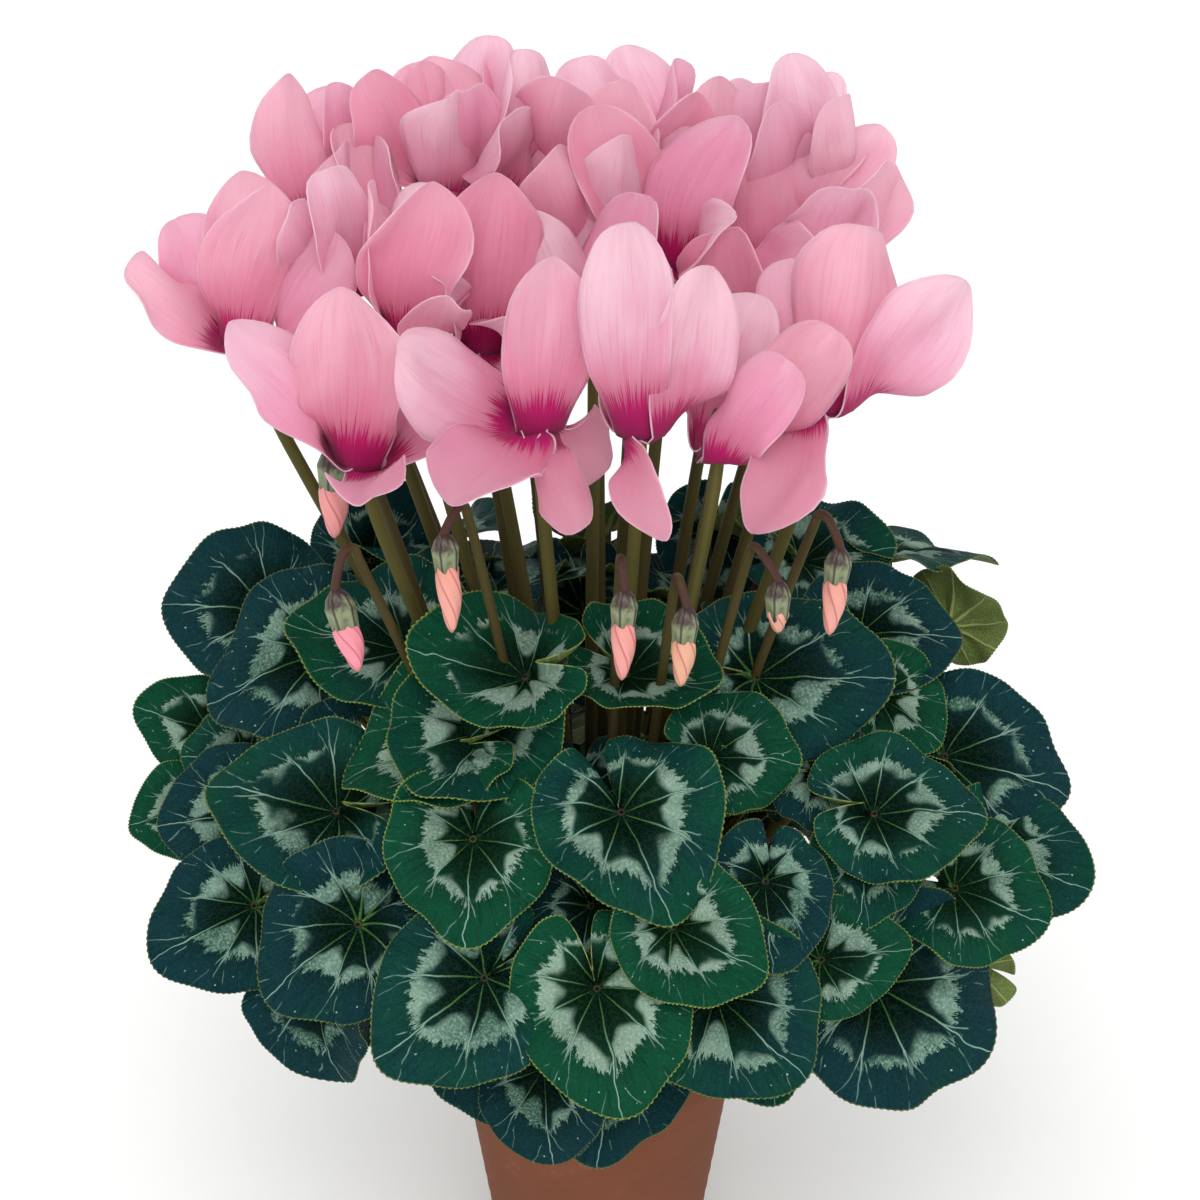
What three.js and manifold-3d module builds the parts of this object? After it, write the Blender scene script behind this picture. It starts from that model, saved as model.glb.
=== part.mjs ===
// A cyclamen in a clay pot: pot, potting soil, corm, patterned leaves on long stalks, nodding
// flowers with swept-back petals, and buds on hooked stalks.
// Millimetres, +Z up. The origin is the middle of the pot's foot, and -Y is the front.
import * as THREE from 'three';
import { mergeVertices } from 'three/addons/utils/BufferGeometryUtils.js';
import Module from 'manifold-3d';

const wasm = await Module();
wasm.setup();

// ---- driving dimensions: pot, soil and corm ----
const POT_HEIGHT = 100;
const RIM_RADIUS = 54;
const COLLAR_HEIGHT = 11;
const COLLAR_STEP = 2.5;
const COLLAR_TAPER = 0.6;
const EDGE_BEVEL = 1;
const FOOT_RADIUS = 37;
const WALL = 5;
const FLOOR_THICKNESS = 7;
const DRAIN_RADIUS = 6;
const POT_SIDES = 32;
const SOIL_TOP = 91;
const CORM_RADIUS = 25;
const CORM_TOP = 103;
const CORM_DEPTH = 24;
const CORM_SIDES = 20;

// Corm outline: [share of the radius, share of the depth].
const CORM_PROFILE = [[0.6, 0], [1, 0.4], [1, 0.75], [0.94, 1]];

// ---- driving dimensions: spaces between pieces ----
const GAP = 0.3;
const CLEARANCE = 0.45;

// ---- driving dimensions: stalks ----
const STALK_SIDES = 5;
const STALK_RISE = 14;
const STALK_MIDDLE = 0.55;
const LEAF_STALK_RADIUS = 1.5;
const LEAF_STALK_LIFT = 4;
const LEAF_STALK_SETBACK = 16;
const LEAF_RING_RADII = [22, 18];
const FLOWER_STALK_RADIUS = 2.1;
const FLOWER_RING_RADII = [13.5, 8.4, 3.4];
const BUD_STALK_RADIUS = 1.4;
const BUD_SHOULDER = 0.9;
const BUD_SHOULDER_DROP = 4;

// ---- driving dimensions: blades, petals and buds ----
const BLADE_THICKNESS = 1.2;
const BLADE_POINTS = 14;
const BLADE_ROWS = [0, 0.55, 1];
const PETAL_THICKNESS = 1.2;
const PETAL_START = 4.5;
const PETAL_BOW = 0.06;
const PETAL_FACE_RISE = 27;
const NOSE_RADIUS = 5.5;
const NOSE_HEIGHT = 11;
const NOSE_SIDES = 6;
const BUD_SIDES = 7;

// Petal outline: [share of the length, share of the width].
const PETAL_STATIONS = [[0, 0.16], [0.38, 0.74], [0.72, 1], [1, 0.46]];

// Bud outline, from the top of the calyx to the tip: [share of the radius, share of the length].
const BUD_PROFILE = [[0, 0], [0.85, 0.08], [1, 0.2], [0.6, 0.36], [0.68, 0.62], [0.3, 0.92], [0, 1]];

// Leaves: [x, y, z of the joint, way the face looks round the plant, its tilt above level,
// turn of the tip from downhill, width, cupping, folding, curl of the tip].
// Angles in degrees. 0 looks to the front and positive goes to the right.
const LEAVES = [
  [8, -92, 252, 5, 58, 20, 64, 0.05, 0, 0.08],
  [-41, -93, 242, -10, 50, 5, 57, 0.05, 0, 0.08],
  [-88, -64, 234, -15, 50, -92, 64, 0.05, 0, 0.08],
  [54, -38, 271, 12, 46, 80, 66, 0.03, 0, 0.05],
  [0, -126, 205, -3, 36, 14, 63, 0, 0, 0.08],
  [-37, -120, 205, 0, 36, -52, 65, 0, 0, 0.08],
  [25, -115, 222, 7, 42, 57, 51, 0.05, 0, 0],
  [56, -96, 227, 20, 42, -15, 47, 0.03, 0, 0.05],
  [40, -116, 195, 5, 34, 44, 63, 0, 0, 0.08],
  [95, -84, 176, 16, 26, 52, 78, 0, 0, 0.1],
  [93, -70, 237, 6, 56, 87, 56, 0, 0.05, 0.05],
  [122, -66, 204, 10, 44, 63, 53, 0, 0, 0.08],
  [121, -20, 228, 15, 44, 66, 67, 0, 0, 0.1],
  [92, 10, 260, 5, 46, 85, 53, 0.03, 0, 0.05],
  [-116, 30, 257, -10, 46, -90, 62, 0, 0, 0.08],
  [-97, 0, 258, -15, 46, -58, 65, 0, 0, 0.08],
  [-119, -40, 217, -15, 48, -76, 52, 0, 0, 0.1],
  [-117, -68, 198, -12, 36, -56, 58, 0, 0, 0.1],
  [-80, -92, 207, -8, 42, -48, 62, 0, 0, 0.08],
  [-13, -106, 156, -12, 18, 8, 56, 0, 0, 0.1],
  [118, 62, 214, 118, 42, -10, 64, 0, 0, 0.08],
  [80, 104, 206, 143, 38, 12, 62, 0, 0, 0.08],
  [26, 122, 200, 168, 34, -8, 66, 0, 0, 0.08],
  [-30, 120, 203, -166, 36, 10, 62, 0, 0, 0.08],
  [-84, 100, 208, -140, 38, -12, 64, 0, 0, 0.08],
  [-124, 60, 206, -116, 38, 14, 58, 0, 0, 0.08],
  [62, 70, 258, 140, 58, 20, 60, 0.03, 0, 0.05],
  [4, 84, 262, 176, 56, -15, 62, 0.03, 0, 0.05],
  [-56, 74, 258, -143, 58, 12, 60, 0.03, 0, 0.05],
  [-138, 12, 219, -10, 42, -100, 40, 0, 0, 0.05],
];

// Flowers: place of the nose, then five petals [way it leans, rise above level, turn about its
// own length, length, width].
const FLOWERS = [
  [[-76, -52, 362], [[-160, 80, 0, 60, 38], [-95, 55, 55, 64, 26], [165, 40, 30, 50, 26],
    [120, 35, -20, 48, 26], [5, 15, 0, 44, 20]]],
  [[-19, -56, 377], [[145, 80, 0, 58, 28], [-80, 30, 20, 56, 30], [-40, -15, 10, 44, 32],
    [15, -25, 30, 44, 16], [135, -40, 10, 44, 20]]],
  [[14, -62, 378], [[-150, 80, 0, 56, 30], [150, 40, -15, 58, 28], [-155, 35, 40, 48, 24],
    [5, -25, 15, 46, 18], [175, 60, 0, 56, 26]]],
  [[39, -58, 369], [[145, 40, 15, 52, 24], [90, 50, 20, 58, 22], [160, 50, 0, 54, 24],
    [60, 60, -30, 44, 18], [-170, 40, 60, 48, 18]]],
  [[73, -48, 380], [[120, 75, 0, 62, 34], [90, 45, 10, 64, 28], [145, 50, 60, 50, 20],
    [-30, -30, 0, 50, 26], [-165, 45, 0, 50, 24]]],
  [[-116, -6, 382], [[140, 80, 0, 56, 26], [85, 55, -20, 50, 32], [-105, 65, 50, 52, 22],
    [-175, 50, 0, 60, 32], [-135, 40, 0, 50, 24]]],
  [[-82, 12, 394], [[-30, 70, 40, 50, 20], [-45, 60, 60, 46, 16], [-175, 55, 50, 50, 18],
    [165, 55, -50, 52, 18], [180, 50, 20, 58, 22]]],
  [[-61, -14, 388], [[150, 80, 0, 52, 28], [-120, 75, 75, 54, 16], [-160, 45, 40, 50, 20],
    [25, 45, 50, 40, 16], [170, 50, 0, 54, 28]]],
  [[-38, 0, 378], [[165, 80, 0, 52, 30], [160, 50, 20, 52, 26], [-20, 50, 60, 44, 16],
    [20, 30, 0, 40, 18], [-170, 50, 65, 52, 16]]],
  [[-1, 4, 376], [[-145, 45, 20, 60, 24], [-100, 65, 30, 52, 22], [115, 75, 0, 56, 26],
    [-170, 50, 0, 50, 22], [155, 35, 30, 46, 20]]],
  [[25, 30, 395], [[105, 70, -10, 56, 32], [-105, 65, 20, 60, 26], [30, 35, -40, 46, 18],
    [-175, 40, 50, 48, 18], [175, 50, 0, 52, 24]]],
  [[50, 24, 384], [[45, 40, 0, 46, 26], [160, 50, 0, 52, 26], [-20, 10, 0, 38, 18],
    [-175, 45, 20, 50, 24], [170, 20, 0, 44, 20]]],
  [[74, 64, 398], [[-130, 80, 20, 56, 26], [180, 50, -50, 50, 22], [-155, 50, 40, 48, 22],
    [30, 70, 60, 50, 18], [-35, 65, 40, 48, 22]]],
  [[77, 34, 392], [[155, 50, 0, 54, 32], [50, 65, 50, 48, 18], [140, 35, 0, 48, 24],
    [35, 40, 20, 44, 22], [-165, 50, 0, 48, 24]]],
  [[-93, 40, 406], [[-120, 75, 20, 52, 20], [160, 50, 20, 48, 20], [-160, 40, 30, 46, 18],
    [175, 45, 0, 48, 22], [155, 35, 30, 46, 18]]],
  [[-50, 52, 412], [[-90, 55, 0, 52, 26], [-170, 50, 0, 52, 30], [-150, 50, 20, 50, 22],
    [0, 65, 30, 48, 18], [30, 65, 20, 48, 18]]],
  [[-31, 58, 415], [[130, 80, 20, 50, 20], [60, 55, 0, 48, 26], [25, 30, 30, 44, 18],
    [-175, 40, 50, 46, 18], [-165, 50, 0, 50, 24]]],
  [[0, 36, 395], [[-40, 70, 20, 48, 24], [30, 75, 30, 48, 18], [180, 55, 0, 50, 22],
    [160, 40, 20, 48, 20], [-150, 50, 20, 50, 24]]],
  [[15, 70, 402], [[180, 55, 0, 54, 28], [-145, 50, 0, 52, 28], [150, 50, 40, 50, 18],
    [55, 60, 20, 48, 22], [-45, 70, 0, 48, 22]]],
  [[48, 66, 394], [[-120, 75, 0, 52, 26], [170, 50, 10, 50, 22], [120, 80, 40, 50, 18],
    [-40, 55, 20, 48, 22], [155, 45, 20, 48, 22]]],
];

// Buds: top of the hooked stalk, top of the calyx, tip of the closed petals, calyx radius.
const BUDS = [
  [[-82, -66, 335], [-85, -68, 322], [-78, -76, 296], 4.8],
  [[-45, -72, 354], [-49, -74, 346], [-47, -78, 312], 4.2],
  [[-84, -36, 366], [-86, -37, 358], [-87, -40, 326], 5.2],
  [[8, -76, 336], [9, -79, 328], [8, -83, 297], 4.2],
  [[27, -74, 328], [29, -78, 321], [27, -82, 294], 4.2],
  [[53, -62, 333], [59, -66, 324], [59, -68, 306], 4.0],
  [[75, -58, 343], [79, -62, 334], [76, -66, 304], 4.2],
];

// ---- materials ----
const finish = (color, roughness) => new THREE.MeshStandardMaterial({ color, roughness, metalness: 0 });
const clay = finish(0x7c4a35, 0.9);
const peat = finish(0x2c211a, 1);
const corky = finish(0x5a4432, 0.95);
const leafGreen = finish(0x1b4a3c, 0.5);
const petalPink = finish(0xee93ab, 0.6);
const budPink = finish(0xe8a08c, 0.6);

// ---- solids ----
const rad = THREE.MathUtils.degToRad;
const vec = ([x, y, z]) => new THREE.Vector3(x, y, z);
const between = (a, b, share) => a.map((value, i) => value + (b[i] - value) * share);
const above = ([x, y, z], rise) => [x, y, z + rise];

const toManifold = (geometry) => {
  const bare = geometry.clone();
  bare.deleteAttribute('normal');
  bare.deleteAttribute('uv');
  const merged = mergeVertices(bare, 1e-4);
  const corners = merged.index.array;
  const triVerts = [];
  for (let i = 0; i < corners.length; i += 3) {
    const [a, b, c] = corners.slice(i, i + 3);
    if (a !== b && b !== c && c !== a) triVerts.push(a, b, c);
  }
  return new wasm.Manifold(new wasm.Mesh({
    numProp: 3,
    vertProperties: new Float32Array(merged.attributes.position.array),
    triVerts: new Uint32Array(triVerts),
  }));
};

const toGeometry = (solid) => {
  const { vertProperties, triVerts } = solid.getMesh();
  const geometry = new THREE.BufferGeometry();
  geometry.setAttribute('position', new THREE.BufferAttribute(new Float32Array(vertProperties), 3));
  geometry.setIndex(new THREE.BufferAttribute(new Uint32Array(triVerts), 1));
  geometry.computeVertexNormals();
  return geometry;
};

const largestPiece = (solid) => solid.decompose()
  .reduce((best, piece) => (piece.volume() > best.volume() ? piece : best));

const join = (solids) => solids.reduce((sum, solid) => sum.add(solid));

/** A closed thin shell: rows of points, each pushed half the thickness to both sides. */
function shell(rows, thickness, isRing) {
  const span = rows[0].length;
  const half = rows.length * span;
  const points = [0.5, -0.5].flatMap((side) => rows.flat()
    .map(([point, normal]) => point.clone().addScaledVector(normal, side * thickness)));
  const last = isRing ? span : span - 1;
  const faces = [];
  for (let r = 0; r < rows.length - 1; r += 1) {
    for (let c = 0; c < last; c += 1) {
      const a = r * span + c;
      const b = r * span + ((c + 1) % span);
      faces.push([a, a + span, b], [b, a + span, b + span]);
      faces.push([half + a, half + b, half + a + span]);
      faces.push([half + b, half + b + span, half + a + span]);
    }
  }
  const edge = [];
  if (!isRing) {
    for (let c = 0; c < span - 1; c += 1) edge.push([c + 1, c]);
    for (let r = 0; r < rows.length - 1; r += 1) {
      edge.push([r * span, (r + 1) * span]);
      edge.push([(r + 2) * span - 1, (r + 1) * span - 1]);
    }
  }
  const end = half - span;
  for (let c = 0; c < last; c += 1) edge.push([end + c, end + ((c + 1) % span)]);
  for (const [a, b] of edge) faces.push([a, half + a, b], [b, half + a, half + b]);
  const geometry = new THREE.BufferGeometry().setFromPoints(points);
  geometry.setIndex(faces.flat());
  return geometry;
}

/** A stalk: a tube of the given radius along a smooth curve through the points. */
function stalk(points, radius, steps) {
  const section = new THREE.Shape();
  for (let i = 0; i < STALK_SIDES; i += 1) {
    const turn = (2 * Math.PI * i) / STALK_SIDES;
    const corner = [radius * Math.cos(turn), radius * Math.sin(turn)];
    if (i === 0) section.moveTo(...corner);
    else section.lineTo(...corner);
  }
  section.closePath();
  const path = new THREE.CatmullRomCurve3(points.map(vec), false, 'centripetal');
  return new THREE.ExtrudeGeometry(section, { steps, extrudePath: path, curveSegments: 1 });
}

/** A turned body about the Z axis, from [radius, height] points. */
function lathe(profile, sides) {
  const points = profile.map(([r, z]) => new THREE.Vector2(r, z));
  return new THREE.LatheGeometry(points, sides).rotateX(Math.PI / 2);
}

// ---- pot, soil and corm ----
const UNDER_COLLAR = POT_HEIGHT - COLLAR_HEIGHT;
const WALL_RADIUS = RIM_RADIUS - COLLAR_STEP;
const INNER_RADIUS = WALL_RADIUS - WALL;
const INNER_FOOT_RADIUS = FOOT_RADIUS - WALL;

function potGeometry() {
  return lathe([
    [DRAIN_RADIUS, 0],
    [FOOT_RADIUS, 0],
    [WALL_RADIUS - EDGE_BEVEL, UNDER_COLLAR],
    [RIM_RADIUS - COLLAR_TAPER, UNDER_COLLAR],
    [RIM_RADIUS, POT_HEIGHT - EDGE_BEVEL],
    [RIM_RADIUS - EDGE_BEVEL, POT_HEIGHT],
    [INNER_RADIUS + EDGE_BEVEL, POT_HEIGHT],
    [INNER_RADIUS, POT_HEIGHT - EDGE_BEVEL],
    [INNER_FOOT_RADIUS, FLOOR_THICKNESS],
    [DRAIN_RADIUS, FLOOR_THICKNESS],
    [DRAIN_RADIUS, 0],
  ], POT_SIDES);
}

function soilGeometry() {
  const radiusAt = (z) => {
    const rise = (z - FLOOR_THICKNESS) / (POT_HEIGHT - EDGE_BEVEL - FLOOR_THICKNESS);
    return THREE.MathUtils.lerp(INNER_FOOT_RADIUS, INNER_RADIUS, rise) - GAP;
  };
  const bottom = FLOOR_THICKNESS + GAP;
  return lathe([
    [0, bottom],
    [radiusAt(bottom), bottom],
    [radiusAt(SOIL_TOP), SOIL_TOP],
    [0, SOIL_TOP],
  ], POT_SIDES);
}

function cormGeometry(extra) {
  const low = CORM_TOP - CORM_DEPTH;
  const outline = CORM_PROFILE.map(([wide, high]) => {
    const spread = high > 0 ? extra : 0;
    const rise = high === 0 ? -extra : (high === 1 ? extra : 0);
    return [CORM_RADIUS * wide + spread, low + CORM_DEPTH * high + rise];
  });
  return lathe([[0, low - extra], ...outline, [0, CORM_TOP + extra]], CORM_SIDES);
}

/** Even places round rings on the corm, shared out by the way each piece leans. */
function crownPlaces(targets, ringRadii) {
  const total = ringRadii.reduce((sum, radius) => sum + radius, 0);
  const items = targets.map(([x, y, z], index) => ({
    index,
    spread: Math.hypot(x, y) / z,
    bearing: Math.atan2(y, x),
  }));
  items.sort((a, b) => b.spread - a.spread);
  const places = [];
  ringRadii.forEach((radius, ring) => {
    const isLast = ring === ringRadii.length - 1;
    const count = isLast ? items.length : Math.round((targets.length * radius) / total);
    const group = items.splice(0, count).sort((a, b) => a.bearing - b.bearing);
    const step = (2 * Math.PI) / group.length;
    const start = group.reduce((sum, item, i) => sum + item.bearing - i * step, 0) / group.length;
    group.forEach((item, i) => {
      const turn = start + i * step;
      places[item.index] = [radius * Math.cos(turn), radius * Math.sin(turn), CORM_TOP + GAP];
    });
  });
  return places;
}

// ---- leaves ----
/** Distance from the joint to the margin, as a share of the width, at an angle from the tip. */
function marginRadius(angle) {
  const off = Math.abs(angle);
  const notch = 1 - 0.8 * Math.exp(-(((180 - off) / 13) ** 2));
  return (0.475 + 0.085 * Math.cos(rad(off)) + 0.075 * Math.exp(-((off / 20) ** 2))) * notch;
}

function leafFrame(facing, tilt, turn) {
  const [f, t, r] = [facing, tilt, turn].map(rad);
  const normal = vec([Math.cos(t) * Math.sin(f), -Math.cos(t) * Math.cos(f), Math.sin(t)]);
  const downhill = vec([Math.sin(t) * Math.sin(f), -Math.sin(t) * Math.cos(f), -Math.cos(t)]);
  const right = vec([Math.cos(f), Math.sin(f), 0]);
  const tip = downhill.clone().multiplyScalar(Math.cos(r)).addScaledVector(right, Math.sin(r));
  const side = right.clone().multiplyScalar(Math.cos(r)).addScaledVector(downhill, -Math.sin(r));
  return { tip, side, normal };
}

function leafSolid([x, y, z, facing, tilt, turn, width, cup, fold, curl], place, extra) {
  const { tip, side, normal } = leafFrame(facing, tilt, turn);
  const joint = vec([x, y, z]);
  const rows = BLADE_ROWS.map((share) => {
    const row = [];
    for (let i = 0; i < BLADE_POINTS; i += 1) {
      const angle = -180 + (360 * i) / BLADE_POINTS;
      const reach = share * (marginRadius(angle) * width + extra);
      const along = reach * Math.cos(rad(angle));
      const across = reach * Math.sin(rad(angle));
      const cupping = cup * (reach / (0.5 * width)) ** 2;
      const folding = fold * Math.abs(across / width);
      const curling = curl * (Math.max(along, 0) / (0.6 * width)) ** 2;
      const point = joint.clone().addScaledVector(tip, along).addScaledVector(side, across)
        .addScaledVector(normal, width * (cupping + folding - curling));
      row.push([point, normal]);
    }
    return row;
  });
  const blade = toManifold(shell(rows, BLADE_THICKNESS + 2 * extra, true));
  const behind = joint.clone().addScaledVector(normal, -LEAF_STALK_SETBACK).toArray();
  const foot = above(place, STALK_RISE);
  const middle = above(between(foot, behind, STALK_MIDDLE), LEAF_STALK_LIFT);
  const tube = stalk([place, foot, middle, behind, [x, y, z]], LEAF_STALK_RADIUS + extra, 6);
  return blade.add(toManifold(tube));
}

// ---- flowers ----
function petalSolid(nose, [lean, rise, turn, length, width], extra) {
  const [a, r] = [lean, rise].map(rad);
  const along = vec([Math.cos(r) * Math.sin(a), -Math.cos(r) * Math.cos(a), Math.sin(r)]);
  const front = vec([0, -Math.cos(rad(PETAL_FACE_RISE)), Math.sin(rad(PETAL_FACE_RISE))]);
  const face = front.addScaledVector(along, -front.dot(along)).normalize()
    .applyAxisAngle(along, rad(turn));
  const across = face.clone().cross(along);
  const rows = PETAL_STATIONS.map(([share, breadth]) => [-0.5, 0.5].map((side) => {
    const reach = PETAL_START + share * (length - PETAL_START + extra);
    const bow = PETAL_BOW * length * Math.sin(Math.PI * share);
    const point = vec(nose).addScaledVector(along, reach)
      .addScaledVector(across, side * (width * breadth + 2 * extra)).addScaledVector(face, bow);
    return [point, face];
  }));
  return toManifold(shell(rows, PETAL_THICKNESS + 2 * extra, false));
}

function noseSolid(nose, extra) {
  const radius = NOSE_RADIUS + extra;
  return toManifold(lathe([
    [0, -NOSE_HEIGHT * 0.4],
    [radius, -NOSE_HEIGHT * 0.25],
    [radius, NOSE_HEIGHT * 0.4],
    [0, NOSE_HEIGHT * 0.6],
  ], NOSE_SIDES).translate(...nose));
}

function flowerSolid([nose, petals], place, extra) {
  const foot = above(place, STALK_RISE);
  const middle = between(foot, nose, STALK_MIDDLE);
  const tube = stalk([place, foot, middle, nose], FLOWER_STALK_RADIUS + extra, 5);
  const blades = petals.map((petal) => petalSolid(nose, petal, extra));
  return join([toManifold(tube), noseSolid(nose, extra), ...blades]);
}

// ---- buds ----
function budSolid([hook, calyx, tip, radius], place, extra) {
  const axis = vec(tip).sub(vec(calyx));
  const length = axis.length();
  const turn = new THREE.Quaternion().setFromUnitVectors(vec([0, 0, 1]), axis.normalize());
  const outline = BUD_PROFILE.map(([r, share]) => [r > 0 ? r * radius + extra : 0, share * length]);
  const body = lathe(outline, BUD_SIDES).applyQuaternion(turn).translate(...calyx);
  const foot = above(place, STALK_RISE);
  const shoulder = above(between(foot, hook, BUD_SHOULDER), -BUD_SHOULDER_DROP);
  const inside = between(calyx, tip, 0.15);
  const route = [place, foot, between(foot, hook, 0.5), shoulder, hook, calyx, inside];
  return toManifold(body).add(toManifold(stalk(route, BUD_STALK_RADIUS + extra, 9)));
}

// ---- the plant, each piece kept clear of those made before it ----
const plant = new THREE.Group();
const addMesh = (name, solid, material) => {
  const mesh = new THREE.Mesh(toGeometry(solid), material);
  mesh.name = name;
  plant.add(mesh);
};

const soilBody = toManifold(soilGeometry()).subtract(toManifold(cormGeometry(GAP)));
addMesh('pot', toManifold(potGeometry()), clay);
addMesh('potting_soil', soilBody, peat);
addMesh('corm', toManifold(cormGeometry(0)), corky);

const heads = [...BUDS.map(([hook]) => hook), ...FLOWERS.map(([nose]) => nose)];
const headPlaces = crownPlaces(heads, FLOWER_RING_RADII);
const leafPlaces = crownPlaces(LEAVES, LEAF_RING_RADII);

const numbered = (stem, rows, places, makeSolid, material) => rows.map((row, i) => ({
  name: `${stem}_${String(i + 1).padStart(2, '0')}`,
  make: (extra) => makeSolid(row, places[i], extra),
  material,
}));

const pieces = [
  ...numbered('bud', BUDS, headPlaces, budSolid, budPink),
  ...numbered('flower', FLOWERS, headPlaces.slice(BUDS.length), flowerSolid, petalPink),
  ...numbered('leaf', LEAVES, leafPlaces, leafSolid, leafGreen),
];

const boxesMeet = (a, b) => [0, 1, 2].every((k) => a.min[k] <= b.max[k] && b.min[k] <= a.max[k]);
const earlierPieces = [];
for (const { name, make, material } of pieces) {
  let solid = make(0);
  const box = solid.boundingBox();
  for (const earlier of earlierPieces) {
    if (boxesMeet(box, earlier.box)) solid = solid.subtract(earlier.solid);
  }
  addMesh(name, largestPiece(solid), material);
  const thick = make(CLEARANCE);
  earlierPieces.push({ solid: thick, box: thick.boundingBox() });
}

export default plant;
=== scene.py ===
"""A potted cyclamen: clay pot, soil, corm, patterned leaves, nodding flowers and hooked buds."""
import itertools
import math
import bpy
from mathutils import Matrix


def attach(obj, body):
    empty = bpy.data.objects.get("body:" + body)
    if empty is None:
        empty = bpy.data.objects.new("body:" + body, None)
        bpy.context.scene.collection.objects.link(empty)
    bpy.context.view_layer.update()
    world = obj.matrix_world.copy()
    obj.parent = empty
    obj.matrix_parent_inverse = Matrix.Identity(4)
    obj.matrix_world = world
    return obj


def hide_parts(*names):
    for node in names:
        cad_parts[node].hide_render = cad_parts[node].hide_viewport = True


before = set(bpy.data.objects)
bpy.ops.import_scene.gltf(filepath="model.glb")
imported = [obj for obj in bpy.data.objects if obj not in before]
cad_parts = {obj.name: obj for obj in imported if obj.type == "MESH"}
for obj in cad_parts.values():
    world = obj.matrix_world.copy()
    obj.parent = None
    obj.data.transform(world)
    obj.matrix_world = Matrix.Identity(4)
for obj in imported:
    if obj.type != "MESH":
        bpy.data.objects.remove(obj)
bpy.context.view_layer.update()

from types import SimpleNamespace

import bpy
import numpy as np
from bpy.props import FloatProperty, FloatVectorProperty, PointerProperty
from bpy.types import Operator, Panel, PropertyGroup

bl_info = {
    "name": "Potted cyclamen",
    "version": (1, 0, 0),
    "blender": (4, 5, 0),
    "location": "3D View > Sidebar > Cyclamen",
    "description": "Makes a flowering cyclamen in a clay pot, with its stage",
    "category": "Add Mesh",
}

# ---- measures, in millimetres unless a comment says otherwise ----
# One millimetre in Blender's metres.
MM = 0.001

POT_HEIGHT = 100
RIM_RADIUS = 54
COLLAR_HEIGHT = 11
COLLAR_STEP = 2.5
FOOT_RADIUS = 37
WALL = 5
FLOOR_THICKNESS = 7
DRAIN_RADIUS = 6
SOIL_TOP = 91
CORM_RADIUS = 25
CORM_TOP = 103
CORM_DEPTH = 24

# Share of the corm's depth that is above its widest place.
CORM_UPPER = 0.42

# What keeps the soil off the pot and the stalks off the corm.
GAP = 0.3

# A stalk starts below its place on the corm by the sink, goes straight up by the rise, and then
# leans out. Its middle is a share of the way from there to its head.
STALK_SINK = 1.5
STALK_RISE = 14
STALK_MIDDLE = 0.55
LEAF_STALK_LIFT = 4
LEAF_STALK_SETBACK = 16

# Radii of the rings on the corm that stalks stand on. Buds share the flowers' rings.
LEAF_RING_RADII = (22, 18)
FILL_RING_RADII = (20, 16)
FLOWER_RING_RADII = (13.5, 8.4, 3.4)

# How thick a stalk is: shares of the way along it, and of its radius.
LEAF_TAPER = ((0, 1.35), (0.08, 1.05), (0.9, 0.9), (1, 0.75))
FLOWER_TAPER = ((0, 1.25), (0.06, 1.05), (0.7, 0.92), (1, 0.7))
BUD_TAPER = ((0, 1.35), (0.06, 1.15), (0.6, 1), (1, 0.95))

# Columns of points round each piece that is round.
POT_SIDES = 128
SOIL_SIDES = 150
CORM_SIDES = 90
NOSE_SIDES = 20
SEPAL_SIDES = 30
BUD_SIDES = 40
LEAF_STALK_SIDES = 10
HEAD_STALK_SIDES = 12

# Seeds. Each leaf, flower or bud adds its own number to its kind's.
SOIL_SEED = 3
CORM_SEED = 5
LEAF_SEED = 100
FLOWER_SEED = 200
BUD_SEED = 300

# The blade: teeth round its margin, how far each column of points stands out in a tooth, shares
# of the way from the joint to the margin for its rows, and the angle from vein to vein.
TEETH = 120
TOOTH_COLUMNS = (0.0, 1.0)
BLADE_SHARES = (0.05, 0.13, 0.22, 0.31, 0.4, 0.49, 0.58, 0.67, 0.76, 0.84, 0.91, 0.96, 1.0)
VEIN_SPACING = math.radians(40)

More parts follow.
